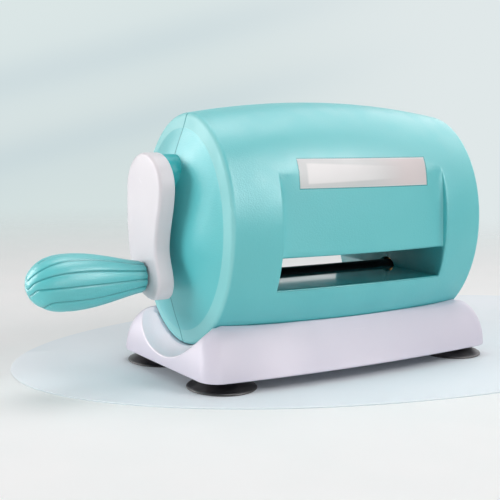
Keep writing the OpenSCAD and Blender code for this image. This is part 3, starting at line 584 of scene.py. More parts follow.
def round_post(x0, y0, r_out, r_in, z0, z1):
    """A hollow post of the base's underside, as a closed ring: up its bore and down outside."""
    rows = [(r_in, z0 + 0.3), (r_in, z1), (r_out, z1), (r_out, z0 + 0.4)]
    rows += [(r_out - 0.12, z0 + 0.12), (r_out - 0.4, z0), (r_in + 0.3, z0), (r_in, z0 + 0.3)]
    return turned(rows, (x0, y0), sides=32)


# %% Base, put together
outside, inside = base_face(0.0), base_face(BASE_WALL)
foot_x, foot_y = base_outline(0.0, 0.0)
edge_x, edge_y = base_outline(0.0, FOOT_EDGE)
to_side, rise = rounded(1.0)
blend = 1 - to_side[:, None]
foot = stack(
    edge_x + (foot_x - edge_x) * blend,
    edge_y + (foot_y - edge_y) * blend,
    BASE_LOW + FOOT_EDGE * rise[:, None],
)
inner_foot = stack(*base_outline(0.0, BASE_WALL), BASE_LOW)
base_patches = [
    (np.concatenate([foot, outside]), True),
    (np.concatenate([inner_foot[None], inside]), True),
    (wall_between(foot[0], inner_foot), True),
]
CUP_X, CUP_Y = 65.8, 26.2
# the cups' posts and the screws' posts: x, y, outer and inner radius, from and to what height
POSTS = [(CUP_X, CUP_Y, 6.5, 3.1, BASE_LOW, 18.3), (44, 8, 5.0, 1.75, 8.0, 12.0)]
for sx in (-1, 1):
    for sy in (-1, 1):
        for x, y, *size in POSTS:
            base_patches.append((round_post(sx * x, sy * y, *size), True))
base = make_piece("base_moulding", base_patches)
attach(base, "body")
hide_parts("base")

# %% [markdown]
# ## The suction cups
#
# Each cup is turned: a thin flared skirt of soft rubber, hollow underneath, with a neck that goes
# up into the base. A turned piece is a profile of radii and heights carried once round its axis.


# %% Cups
def smooth_line(points, at):
    """A smooth line through points, at places counted in points from the first. Between two
    points it is a cubic that leaves and arrives along the line between their neighbours."""
    p = np.asarray(points, float)
    ahead = np.concatenate([p[1:], 2 * p[-1:] - p[-2:-1]])
    behind = np.concatenate([2 * p[:1] - p[1:2], p[:-1]])
    slope = (ahead - behind) / 2
    i = np.clip(np.asarray(at).astype(int), 0, len(p) - 2)
    s = (at - i).reshape((-1,) + (1,) * (p.ndim - 1))
    line = (1 + 2 * s) * (1 - s) ** 2 * p[i] + s * (1 - s) ** 2 * slope[i]
    return line + s * s * (3 - 2 * s) * p[i + 1] - s * s * (1 - s) * slope[i + 1]


cup_under = smooth_line([(0, 2.5), (6, 2.3), (10.4, 1.3), (13.3, 0.12)], between([0, 3], [15]))
cup_rim = [(13.7, 0.0), (14.5, 0.0), (14.85, 0.16), (14.9, 0.45), (14.7, 0.75)]
cup_skirt = [(14.2, 1.0), (11.6, 2.0), (8.8, 3.5), (6.9, 4.5), (6.4, 4.97)]
cup_skirt = smooth_line(cup_skirt, between([0, 4], [20]))
cup_neck = [(3.0, 4.98), (2.95, 9.0), (2.4, 11.5), (0, 11.6)]
cup_profile = np.concatenate([cup_under, cup_rim, cup_skirt, cup_neck])
CUPS = {"front_left": (-1, -1), "front_right": (1, -1), "rear_left": (-1, 1), "rear_right": (1, 1)}
for name, (sx, sy) in CUPS.items():
    shape = turned(cup_profile, (sx * CUP_X, sy * CUP_Y, 0))
    cup = make_piece(f"{name}_suction_cup", [(shape, True)], sharp=40)
    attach(cup, "body")
    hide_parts(f"{name}_cup")

# %% [markdown]
# ## The crank
#
# The arm is a slab with a lobe at the top, a waist, and a foot that swings a little to the front.
# Two functions of the distance below the crank's axis say where its middle lies and how wide it
# is. Rounding its edges evenly means moving the outline inwards by the same amount everywhere, so
# the grid runs along the outline one way, and from the middle of the back, over both edges, to
# the middle of the front the other way.

# %% Arm
CRANK_Z, THROW, LEAN = 88.0, 43.0, 3.0
GRIP_Y, GRIP_Z = -THROW * sin(radians(LEAN)), CRANK_Z - THROW * cos(radians(LEAN))
ARM_BACK, ARM_T = -83.5, 7.5
ARM_TOP, ARM_CAP, ARM_FOOT, ARM_FOOT_CAP, ARM_TOE = 8.7, 14.7, 8.9, 9.4, 4.0
LOBE_W, WAIST_W, FOOT_W, WAIST_S = 29.3, 23.4, 23.6, 35.0
LOBE_SHIFT, WAIST_SHIFT, FOOT_SHIFT = 1.3, 0.2, 4.7
FRONT_EDGE, BACK_EDGE = 1.5, 1.0
LOBE_END, SPINE_TOP = ARM_CAP - ARM_TOP, 5.0
LOBE_SWING, FOOT_SWING = (LOBE_END, WAIST_S - 10), (WAIST_S - 7, THROW + 3)


def ease(s, a, b):
    """A half wave that rises from 0 at a to 1 at b."""
    return (1 - np.cos(pi * np.clip((s - a) / (b - a), 0, 1))) / 2


def arm_heel(s):
    """Share of the foot's rounding that is used up at s below the crank's axis."""
    return np.clip((s - THROW - ARM_FOOT + ARM_FOOT_CAP) / ARM_FOOT_CAP, 0, 1)


def arm_half_width(s):
    """Half the width: lobe, waist and foot joined by half waves, closed by two ovals."""
    body = LOBE_W + (WAIST_W - LOBE_W) * ease(s, LOBE_END, WAIST_S)
    body = body + (FOOT_W - WAIST_W) * ease(s, WAIST_S, THROW)
    cap = np.clip((LOBE_END - s) / ARM_CAP, 0, 1)
    return body / 2 * np.sqrt(1 - cap**2) * np.sqrt(1 - arm_heel(s) ** 2)


def arm_middle(s):
    """Y of the arm's middle line, which also swings to the front in the foot's rounding."""
    y = -LOBE_SHIFT + (LOBE_SHIFT - WAIST_SHIFT) * ease(s, *LOBE_SWING)
    y = y - (FOOT_SHIFT - WAIST_SHIFT) * ease(s, *FOOT_SWING)
    return y - ARM_TOE * arm_heel(s) ** 2


s = -ARM_TOP + (THROW + ARM_FOOT + ARM_TOP) * (1 - np.cos(np.linspace(0, pi, 97))) / 2
outline_y = [arm_middle(s) + arm_half_width(s), (arm_middle(s) - arm_half_width(s))[-2:0:-1]]
outline_z = CRANK_Z - np.concatenate([s, s[-2:0:-1]])
outline = np.stack([np.concatenate(outline_y), outline_z], -1)
slope = np.roll(outline, -1, 0) - np.roll(outline, 1, 0)
inward = slope[:, ::-1] * [1, -1] / np.hypot(slope[:, :1], slope[:, 1:])
spine_s = np.clip(CRANK_Z - outline_z, SPINE_TOP, THROW)
spine = np.stack([arm_middle(spine_s), CRANK_Z - spine_s], -1)
inward = inward * np.sign(np.sum(inward * (spine - outline)))
back_edge, front_edge = rounded(BACK_EDGE, 8), rounded(FRONT_EDGE, 8)
inset = np.concatenate([back_edge[0], front_edge[1]])[:, None, None]
depth = np.concatenate([back_edge[1], ARM_T - front_edge[0]])[:, None]
rim = stack(ARM_BACK - depth, *np.moveaxis(outline + inward * inset, -1, 0))
fill = between([0, 1], [6])[:, None, None]
back = rim[0] + (stack(ARM_BACK, *spine.T) - rim[0]) * fill[::-1][:-1]
front = rim[-1] + (stack(ARM_BACK - ARM_T, *spine.T) - rim[-1]) * fill[1:]
arm = make_piece("crank_arm_moulding", [(np.concatenate([back, rim, front]), True)])
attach(arm, "crank")
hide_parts("crank_arm")

# %% [markdown]
# The hub is turned too. It joins the arm and goes into the hole in the dome.

# %% Hub
HUB_R, HUB_BORE, HUB_END, HUB_EDGE = 7.9, 3.9, -72.6, 0.9
hub_edge = [(HUB_R - inset, ARM_BACK + up) for inset, up in zip(*rounded(HUB_EDGE, 7))]
hub_profile = [(HUB_BORE, ARM_BACK), *hub_edge]
hub_profile += [(HUB_R, HUB_END), (HUB_BORE, HUB_END), (HUB_BORE, ARM_BACK)]
hub = make_piece("crank_hub_moulding", [(turned(hub_profile, (0, 0, CRANK_Z), "x", 96), True)])
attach(hub, "crank")
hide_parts("crank_hub")

# %% [markdown]
# ## The grip
#
# The grip is a bulb with twelve soft ribs and narrow grooves between them. The grooves run along
# it, and near the far end they turn down and cross underneath, one inside another. A grid of
# circles and spokes would cut across them there. So the bulb is unrolled flat from its tip, the
# grooves are drawn on the flat sheet, and the grid's columns run along them and between them.
# Each point then sinks by an amount that depends only on how far it is from the nearest groove.

# %% Outline of the grip and its grooves
GRIP_NECK_X, GRIP_LEN = -91.6, 50.8
NECK_R, BELLY_R, NECK_EDGE = 6.7, 11.7, 0.8
BELLY_AT, TIP_SHARE = 0.66, 0.34  # shares of the length up to the belly and past it
SWELL, BLUNT = 1.3, 2.3  # powers: how late it swells, and how blunt the end is
GROOVE_DEEP, GROOVE_HALF, PILLOW, PILLOW_REACH = 0.26, 0.34, 0.24, 1.2
RIBS, RIB_COLUMNS = 6, 24  # on one side, and the columns of each
CROWDING = 0.78  # how much the columns crowd at the grooves
# GROOVE_SHADE_REACH sets how far the painted shade in the grooves reaches, in groove widths.
TOP_GROOVE_END, GROOVE_SHADE_REACH = 0.9, 1.15


def grip_outline(u):
    """Radius at a share u of the length: a quarter wave out to the belly, then a blunt end."""
    swell = NECK_R + (BELLY_R - NECK_R) * np.sin(pi / 2 * np.minimum(u / BELLY_AT, 1)) ** SWELL
    tip = np.maximum(0, (u - BELLY_AT) / TIP_SHARE)
    return swell * np.sqrt(np.maximum(0, 1 - tip**BLUNT))


# the bulb's outline as a table: share of the length, radius, and distance from the tip
past_belly = BELLY_AT + TIP_SHARE * np.sin(np.linspace(0, pi / 2, 600))
share = np.concatenate([np.linspace(0, BELLY_AT, 300)[:-1], past_belly])
radius = grip_outline(share)
lengths = np.hypot(np.diff(share * GRIP_LEN), np.diff(radius))
reach = np.concatenate([[0], np.cumsum(lengths[::-1])])[::-1]

# the seven grooves of one side, from the top one to the bottom one: nine points on each, at
# shares of the length and at angles from the top in degrees
GROOVE_SHARES = np.array([
    [0, 0.25, 0.5, 0.7, 0.83, 0.91, 0.95, 0.97, 0.98],
    [0, 0.25, 0.5, 0.7, 0.84, 0.93, 0.975, 0.992, 0.9965],
    [0, 0.25, 0.5, 0.7, 0.84, 0.93, 0.975, 0.9935, 0.9965],
    [0, 0.25, 0.5, 0.7, 0.84, 0.92, 0.96, 0.977, 0.976],
    [0, 0.25, 0.5, 0.66, 0.77, 0.835, 0.866, 0.876, 0.872],
    [0, 0.2, 0.38, 0.5, 0.59, 0.645, 0.675, 0.69, 0.693],
    [0, 0.12, 0.24, 0.34, 0.42, 0.48, 0.53, 0.57, 0.6],
])
GROOVE_ANGLES = np.array([
    [0, 0, 0, 0, 0, 0, 0, 0, 0],
    [30, 30, 30.5, 32, 34, 35.5, 34, 24, 0],
    [60, 60, 60, 61, 62.5, 65.5, 74, 105, 180],
    [90, 90, 89.5, 89.8, 91.5, 95.5, 105, 135, 180],
    [120, 120.5, 120.5, 120.5, 122.5, 128, 140, 158, 180],
    [150, 150, 150.5, 151.5, 154, 158.5, 165, 172, 180],
    [180, 180, 180, 180, 180, 180, 180, 180, 180],
])

# %% The grip's surface
rays, angles = np.interp(GROOVE_SHARES, share, reach), np.radians(GROOVE_ANGLES)
sheet = np.stack([rays * np.cos(angles), rays * np.sin(angles)], -1)
rows = between([0, 0.07, 8], [6, 150])
v = between([0, RIBS], [RIBS * RIB_COLUMNS])
columns = v - CROWDING * np.sin(2 * pi * v) / (2 * pi)
sheet = smooth_line(np.swapaxes(smooth_line(sheet, columns), 0, 1), rows)
from_tip = np.hypot(sheet[..., 0], sheet[..., 1])
angle = np.arctan2(np.maximum(sheet[..., 1], 0), sheet[..., 0])
u = np.interp(-from_tip, -reach, share)
r = np.interp(-from_tip, -reach, radius)
bulb = stack(GRIP_NECK_X - u * GRIP_LEN, r * np.sin(angle), r * np.cos(angle))
# outward direction in the plane through the axis, from the outline's slope
slope_r, slope_x = np.gradient(radius, -reach), np.gradient(share * GRIP_LEN, -reach)
out_x = np.interp(-from_tip, -reach, slope_r)
out_r = np.interp(-from_tip, -reach, slope_x)
outward = stack(out_x, out_r * np.sin(angle), out_r * np.cos(angle))
flat = bulb.reshape(-1, 3)
nearest = np.full(len(flat), 1e9)
lines = list(np.swapaxes(bulb[:, ::RIB_COLUMNS], 0, 1))
lines[0] = lines[0][u[:, 0] < TOP_GROOVE_END]
for line in lines:
    squared = (flat**2).sum(1)[:, None] + (line**2).sum(1)[None] - 2 * flat @ line.T
    nearest = np.minimum(nearest, squared.min(1))
nearest = np.sqrt(np.maximum(nearest, 0)).reshape(u.shape)
relief = GROOVE_DEEP * np.exp(-((nearest / GROOVE_HALF) ** 2))
relief = relief + PILLOW * np.exp(-nearest / PILLOW_REACH)
edge = np.clip(1 - u * GRIP_LEN / NECK_EDGE, 0, 1)
relief = relief + NECK_EDGE * (1 - np.sqrt(1 - edge**2))
half = bulb - outward * relief[..., None]
half[:, [0, -1], 1] = 0
half[-1, :, 1] = 0
grip_sides = [half + [0, GRIP_Y, GRIP_Z], half * [1, -1, 1] + [0, GRIP_Y, GRIP_Z]]
neck_ring = np.concatenate([grip_sides[0][0], grip_sides[1][0, -2:0:-1]])
neck_axis = np.array([GRIP_NECK_X, GRIP_Y, GRIP_Z])
neck_face = neck_axis + (neck_ring - neck_axis) * np.array([1, 0.75, 0.5])[:, None, None]
neck_face = np.concatenate([neck_face, neck_face[:1] * 0 + neck_axis])
# Painted shade in the grooves: 1 at a groove, fading with distance; the material reads it as the
# hollow attribute.
groove_shade = np.exp(-((nearest / (GROOVE_SHADE_REACH * GROOVE_HALF)) ** 2)).ravel()
grip = make_piece(
    "grip_moulding",
    [(g, False) for g in grip_sides] + [(neck_face, True)],
    sharp=60,
    merge=2e-7,
    hollow=np.concatenate([groove_shade, groove_shade, np.zeros(neck_face.size // 3)]),
)
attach(grip, "handle")
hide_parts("grip")

# %% [markdown]
# ## The plate on the apron
#
# A thin plate sits across the apron's top line and is bent along it. It stands out by a hair and
# has softly rounded edges, so its rim catches the light.

# %% Plate on the apron
PLATE_HALF, PLATE_LOW, PLATE_HIGH = 35.75, 83.3, 95.5
PLATE_T, PLATE_OUT, PLATE_EDGE = 0.8, 0.12, 0.22


def front_y(x, z):
    """Depth of the front: the barrel's above the apron's top line, the apron's below it."""
    return np.where(z >= APRON_TOP_Z, barrel_y(x, z), apron_y(x, z, 0.0)) - brow_bite(x, z)


drop_edge, along = rounded(PLATE_EDGE, 4)


def with_edges(low, inner, high):
    """Places from low to high, with those of a rounded edge at both ends, and what the surface
    drops at each."""
    line = np.concatenate([low + along, inner, high - along[::-1]])
    return line, np.concatenate([drop_edge, np.zeros(len(inner)), drop_edge[::-1]])


inner_x = PLATE_HALF - PLATE_EDGE - 0.5
inner_z = between([PLATE_LOW + 0.7, APRON_TOP_Z, PLATE_HIGH - 0.5], [10, 8])
x_line, drop_x = with_edges(-PLATE_HALF, np.linspace(-inner_x, inner_x, 41), PLATE_HALF)
z_line, drop_z = with_edges(PLATE_LOW, inner_z, PLATE_HIGH)
plate_x, plate_z = np.meshgrid(x_line, z_line)
drop = np.maximum(drop_x[None], drop_z[:, None])
face = stack(plate_x, -front_y(plate_x, plate_z) - PLATE_OUT + drop, plate_z)
behind = stack(plate_x, -front_y(plate_x, plate_z) + PLATE_T, plate_z)

plate = make_piece(
    "apron_plate",
    [(face, False), (behind, False), (wall_between(border(face), border(behind)), True)],
)
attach(plate, "body")
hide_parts("label_plate")

# %% [markdown]
# ## The rollers
#
# The two rollers are turned from bar, with journals at their ends. Fine turning marks give them
# a slightly drawn-out shine, which the material adds.

# %% Rollers
ROLLER_HALF, ROLLER_CUT, JOURNAL_R, JOURNAL_CUT = 48.6, 0.6, 3.4, 0.5


def roller(name, body, node, z, r, left, right):
    """A roller's profile: journal, shoulder with a small chamfer, barrel, and the same again."""
    half, cut, journal = ROLLER_HALF, ROLLER_CUT, JOURNAL_R
    profile = [(0, left), (journal - JOURNAL_CUT, left), (journal, left + JOURNAL_CUT)]
    profile += [(journal, -half), (r - cut, -half), (r, -half + cut)]
    profile += [(r, half - cut), (r - cut, half), (journal, half)]
    profile += [(journal, right - JOURNAL_CUT), (journal - JOURNAL_CUT, right), (0, right)]
    steps = [1, 1, 1, 2, 1, 40, 1, 2, 1, 1, 1]
    fine = np.stack([between(line, steps) for line in np.array(profile).T], -1)
    piece = make_piece(name, [(turned(fine, (0, 0, z), "x", 96), True)])
    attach(piece, body)
    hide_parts(node)
    return piece


RIGHT_END = 53.8
upper_roller = roller(
    "upper_pressing_roller", "upper_roll", "upper_roller", UPPER_Z, 6.0, -69.0, RIGHT_END
)
lower_roller = roller(
    "lower_pressing_roller", "lower_roll", "lower_roller", LOWER_Z, 5.0, -58.0, RIGHT_END
)

# %% [markdown]
# ## Finishes as node groups
#
# A finish is what the maker's tool leaves behind: the etched grain of a mould, the rings of a
# lathe, the long scratches of rolled sheet. Each one is a small group of nodes that works from
# the piece's own coordinates in metres, so the marks have their real size and stay on the piece
# when it moves. A group gives out only things that change over the surface: heights, masks and
# tones. The shader with its fixed numbers stays in each material.


# %% Helpers for nodes
def colour(*rgb):
    """A colour written as it looks on screen, 0 to 255, as the light amounts Blender wants."""
    share = np.array(rgb) / 255
    light = np.where(share <= 0.04045, share / 12.92, ((share + 0.055) / 1.055) ** 2.4)
    return (*[float(v) for v in light], 1.0)


def node(tree, kind, inputs=(), **settings):
    """Adds a node. Its settings are set, and each input gets a value or a link from a socket."""
    made = tree.nodes.new("ShaderNode" + kind)
    for name, value in settings.items():
        setattr(made, name, value)
    for name, value in dict(inputs).items():
        if isinstance(value, bpy.types.NodeSocket):
            tree.links.new(value, made.inputs[name])
        else:
            made.inputs[name].default_value = value
    return made


def maths(tree, operation, first, second=0.5, third=0.5):
    """One sum on values that change over the surface."""
    made = node(tree, "Math", {0: first, 1: second, 2: third}, operation=operation)
    return made.outputs[0]


def times(tree, product, *others):
    """The product of several values, such as of masks that must all hold."""
    for value in others:
        product = maths(tree, "MULTIPLY", product, value)
    return product


def stretch(tree, value, low, high, to_low=0.0, to_high=1.0, smooth=True):
    """Moves the range low..high to to_low..to_high, with soft ends if smooth."""
    labels = ("Value", "From Min", "From Max", "To Min", "To Max")
    inputs = dict(zip(labels, (value, low, high, to_low, to_high)))
    kind = "SMOOTHSTEP" if smooth else "LINEAR"
    return node(tree, "MapRange", inputs, interpolation_type=kind).outputs[0]


def step(tree, value, low, high):
    """A mask that rises softly from 0 to 1 as a length goes from low to high, in mm."""
    return stretch(tree, value, low * MM, high * MM)


def lay_over(tree, base, mask, top, share=1.0):
    """Lays one colour over another by a mask, or by a share of it."""
    mask = mask if share == 1 else times(tree, mask, share)
    return node(tree, "Mix", {0: mask, 6: base, 7: top}, data_type="RGBA").outputs[2]


def noise(tree, place, scale, detail=2.0, roughness=0.5, stretched=None):
    """Noise from 0 to 1 on the piece's coordinates; stretched scales each axis first."""
    if stretched:
        place = node(tree, "Mapping", {"Vector": place, "Scale": stretched}).outputs[0]
    inputs = {"Vector": place, "Scale": scale, "Detail": detail, "Roughness": roughness}
    return node(tree, "TexNoise", inputs).outputs["Fac"]


def cells(tree, place, scale):
    """How far a point is from the middle of its cell, among many scattered cells."""
    return node(tree, "TexVoronoi", {"Vector": place, "Scale": scale}).outputs["Distance"]


GROUPS = {}


def make_group(recipe, outputs, **inputs):
    """A node group of the recipe's name. The recipe gets the place and the other inputs, adds
    nodes to the tree and gives back what goes out."""
    tree = bpy.data.node_groups.new(recipe.__name__, "ShaderNodeTree")
    tree.interface.new_socket("Place", in_out="INPUT", socket_type="NodeSocketVector")
    for label, value in inputs.items():
        label = label.replace("_", " ")
        socket = tree.interface.new_socket(label, in_out="INPUT", socket_type="NodeSocketFloat")
        socket.default_value = value
    for label in outputs:
        tree.interface.new_socket(label, in_out="OUTPUT", socket_type="NodeSocketFloat")
    given, taken = tree.nodes.new("NodeGroupInput"), tree.nodes.new("NodeGroupOutput")
    for label, value in zip(outputs, recipe(tree, *given.outputs[: 1 + len(inputs)])):
        tree.links.new(value, taken.inputs[label])
    GROUPS[tree.name] = tree
    print("Group", tree.name, "gives", ", ".join(outputs))


# %% Moulded grain
def moulded_grain(tree, place, grains):
    """Etched mould texture: height = pebbles + finer noise. Tone is a slow drift of the colour
    from one place to another, and Patches changes the gloss a little."""
    fine = noise(tree, place, times(tree, grains, 2.3))
    raised = maths(tree, "SUBTRACT", 1.0, cells(tree, place, grains))
    height = maths(tree, "MULTIPLY_ADD", fine, 0.5, raised)
    tone = stretch(tree, noise(tree, place, 22.0), 0.3, 0.7)
    return height, tone, stretch(tree, noise(tree, place, 90.0, 4.0), 0.35, 0.7)


make_group(moulded_grain, ["Height", "Tone", "Patches"], Grains_per_m=1500.0)


# %% Rubbed edges, handling marks and painted shade in hollows
def rubbed(tree, place, sharpness):
    """Edges are the places where the surface bends outwards, broken up by noise. The shade in
    hollows is a mask of those where it bends inwards, which the materials paint darker as shade.
    Scuffs are short thin lines, kept where a second noise is high, so that they come in groups."""
    bend = tree.nodes.new("ShaderNodeNewGeometry").outputs["Pointiness"]
    edges = stretch(tree, bend, sharpness, maths(tree, "ADD", sharpness, 0.06))
    broken = stretch(tree, noise(tree, place, 260.0, 3.0), 0.38, 0.62)
    thin = noise(tree, place, 60.0, 3.0, 0.6, (1.0, 9.0, 14.0))
    where = stretch(tree, noise(tree, place, 30.0), 0.55, 0.72)
    scuffs = times(tree, stretch(tree, thin, 0.66, 0.72), where)
    return times(tree, edges, broken), stretch(tree, bend, 0.48, 0.42), scuffs


make_group(rubbed, ["Edges", "Hollows", "Scuffs"], Sharpness=0.54)


# %% Turning marks
def turning_marks(tree, place):
    """Rings round X, as a lathe leaves them: noise that changes fast along X and not across it.
    Streaks run the other way, along the bar."""
    fine = noise(tree, place, 1.0, 2.0, 0.6, (5200.0, 60.0, 60.0))
    broad = noise(tree, place, 1.0, 2.0, 0.5, (700.0, 25.0, 25.0))
    worn = noise(tree, place, 1.0, 3.0, 0.6, (38.0, 420.0, 420.0))
    height = maths(tree, "MULTIPLY_ADD", broad, 0.6, fine)
    return height, stretch(tree, broad, 0.3, 0.7), stretch(tree, worn, 0.5, 0.75)


make_group(turning_marks, ["Height", "Tone", "Streaks"])


# %% Rolled and plated sheet
def rolled_sheet(tree, place):
    """Zinc on rolled steel: long faint lines along Z, cloudy patches of plating and small pits."""
    lines = noise(tree, place, 1.0, 4.0, 0.65, (1800.0, 1800.0, 45.0))
    clouds = stretch(tree, noise(tree, place, 85.0, 5.0, 0.6), 0.3, 0.7)
    pits = stretch(tree, cells(tree, place, 620.0), 0.05, 0.22)
    height = maths(tree, "MULTIPLY_ADD", pits, 0.5, lines)
    return height, stretch(tree, lines, 0.35, 0.65), clouds


make_group(rolled_sheet, ["Height", "Tone", "Clouds"])


# %% Pores
def pores(tree, place, grains):
    """Pressed and sintered metal powder: round grains with dark pores between them."""
    cell = cells(tree, place, grains)
    blotch = stretch(tree, noise(tree, place, 420.0, 4.0), 0.4, 0.65)
    dark = times(tree, stretch(tree, cell, 0.45, 0.8), blotch)
    return stretch(tree, cell, 0.2, 0.7, 1.0, 0.0), dark


make_group(pores, ["Height", "Dark"], Grains_per_m=3200.0)

# %% [markdown]
# ## From finish to material
#
# Every material starts in the same way: a Principled shader, the piece's own coordinates and a
# bump. Fixed numbers go on the shader's own sockets. Only what changes over the surface is
# linked to it.


# %% Starting and ending a material
def start_material(name, **fixed):
    """An empty material: its node tree, its shader with fixed values, and Object coordinates."""
    material = bpy.data.materials.new(name)
    material.use_nodes = True
    tree = material.node_tree
    tree.nodes.clear()
    values = {label.replace("_", " "): value for label, value in fixed.items()}
    shader = node(tree, "BsdfPrincipled", values)
    node(tree, "OutputMaterial", {"Surface": shader.outputs[0]}, target="ALL")
    return material, tree, shader, node(tree, "TexCoord").outputs["Object"]


def finish_of(tree, name, place, grains=None):
    """Places a group's node in a material and gives its outputs."""
    inputs = {"Place": place} if grains is None else {"Place": place, "Grains per m": grains}
    return node(tree, "Group", node_tree=GROUPS[name], inputs=inputs).outputs


def end_material(tree, shader, base, rough, height, depth):
    """Links colour and roughness, and a bump as high as height times depth in metres."""
    tree.links.new(base, shader.inputs["Base Color"])
    tree.links.new(rough, shader.inputs["Roughness"])
    bump = node(tree, "Bump", {"Height": height, "Distance": depth, "Strength": 1.0})
    tree.links.new(bump.outputs[0], shader.inputs["Normal"])


# %% [markdown]
# Some colours and glosses belong to a place on the machine, not to a finish, and several of
# these colours are painted light and shade. Such a mask is worked out from the same lengths as
# the shapes were: how far out along the barrel a point lies, and how high an oval passes
# through it.


# %% Masks for places on the machine
RING_FADE = (1.9, 0.6)  # mm before the barrel's end where the ring starts and where it is full
CREASE_FADE = 0.15  # half the width in mm over which the ring ends at the crease
PLATE_SHADOW_FADE = (0.5, 0.3)  # mm from the plate where the painted shadow ends and where it is full
PLATE_SHADOW_SHIFT = 0.15  # mm to the right, so there is more of it on that side


def off(tree, value, middle):
    """How far a value is from a middle in mm, to either side."""
    return maths(tree, "ABSOLUTE", maths(tree, "SUBTRACT", value, middle * MM))


def on_barrel(tree, place):
    """A point's y, how far out it is along X, its height above the axis, and the half-height of
    the oval through it, which is the root of (y / flatness)^2 + (z - axis)^2."""
    parts = node(tree, "SeparateXYZ", {0: place}).outputs
    high = maths(tree, "SUBTRACT", parts["Z"], AXIS_Z * MM)
    deep = maths(tree, "DIVIDE", parts["Y"], FLATNESS)
    squares = maths(tree, "MULTIPLY_ADD", high, high, times(tree, deep, deep))
    return parts["Y"], off(tree, parts["X"], BARREL_X), high, maths(tree, "SQRT", squares)


def housing_masks(tree, place):
    """Four masks of the housing. The first is 1 on the flat ring round each end, which lies far
    out along X and outside the dome's crease; it is painted paler as light. The second is 1 along
    the seam on the ends, which is painted darker as shade, the third on the floor of the passage,
    which the cutting plates have polished, and the last on all walls of the passage, which are
    painted a darker teal as shade. Each step's two numbers are the places in mm where it is 0
    and where it is 1."""
    y, out, high, half_height = on_barrel(tree, place)
    crease = step(tree, half_height, CREASE_R - CREASE_FADE, CREASE_R + CREASE_FADE)
    end = step(tree, out, *(HALF_LEN - mm for mm in RING_FADE))
    depth = maths(tree, "ABSOLUTE", y)
    # The seam's mask is used for painted shade along the seam.
    near_seam = step(tree, depth, 1.1 * SEAM, 0.7 * SEAM)
    near_floor = step(tree, off(tree, high, FLOOR_Z - AXIS_Z), 0.4, 0.2)
    polished = times(tree, near_floor, step(tree, out, SLOT_HALF, SLOT_HALF - 0.2))
    off_middle = off(tree, high, (FLOOR_Z + CEILING_Z) / 2 - AXIS_Z)
    half_tall = (CEILING_Z - FLOOR_Z) / 2
    tall = step(tree, off_middle, half_tall + 1.2, half_tall + 0.2)
    past_lip = step(tree, out, SLOT_HALF + 0.5, SLOT_HALF + 0.1)
    inside = times(tree, tall, past_lip, step(tree, depth, 40, 37))
    return times(tree, crease, end), times(tree, near_seam, end), polished, inside


def plate_shadow_line(tree, place):
    """1 in the thin painted shadow round the plate on the apron, which is widest at its right."""
    parts = node(tree, "SeparateXYZ", {0: place}).outputs
    across = off(tree, parts["X"], BARREL_X + PLATE_SHADOW_SHIFT)
    up = off(tree, parts["Z"], (PLATE_LOW + PLATE_HIGH) / 2)
    near_x = step(tree, across, *(PLATE_HALF + mm for mm in PLATE_SHADOW_FADE))
    near_z = step(tree, up, *((PLATE_HIGH - PLATE_LOW) / 2 + mm for mm in PLATE_SHADOW_FADE))
    return times(tree, near_x, near_z, step(tree, parts["Y"], -30, -34))


# Painted light: this mask marks the bed past the rims, which the base's material paints paler.
def scoop_light_mask(tree, place):
    """1 on the scooped surface past the barrel's rims: there a point's half-height is the rim's,
    plus a gap, plus a depth that is reached more and more slowly (1 - e^-distance)."""
    _, out, _, half_height = on_barrel(tree, place)
    past = maths(tree, "MAXIMUM", maths(tree, "SUBTRACT", out, HALF_LEN * MM), 0.0)
    still = maths(tree, "EXPONENT", maths(tree, "DIVIDE", past, -SCOOP_REACH * MM))
    deepest = (RIM_H / 2 + GAP + SCOOP_DEPTH) * MM
    bed = maths(tree, "MULTIPLY_ADD", still, -SCOOP_DEPTH * MM, deepest)
    beyond = maths(tree, "SUBTRACT", half_height, bed)
    return times(tree, step(tree, beyond, 0.6, 0.1), step(tree, past, 0.0, 0.5))


# %% [markdown]
# The housing, the hub and the grip are moulded in teal plastic. The mould is finely etched, so a
# highlight breaks into sparkling specks. Handling rubs the edges a little paler and smoother.
# The arm and the base are the same plastic in white, and the base is a little more lilac. Some
# of the colour is painted light and shade: hollows, the seam, the line round the plate, the
# passage's walls and the grip's grooves are painted darker as shade, the hub is painted a deeper
# teal as the arm's shadow, and the ring round each end and the base's bed past the rims are
# painted paler as light.


# %% Moulded plastics
# HOLLOW_SHADE is painted shade: how strongly hollows are darkened, as if shade fell in them.
HOLLOW_SHADE, EDGES, SCUFFS = 0.7, 0.35, 0.12  # how strongly each shows in the colour


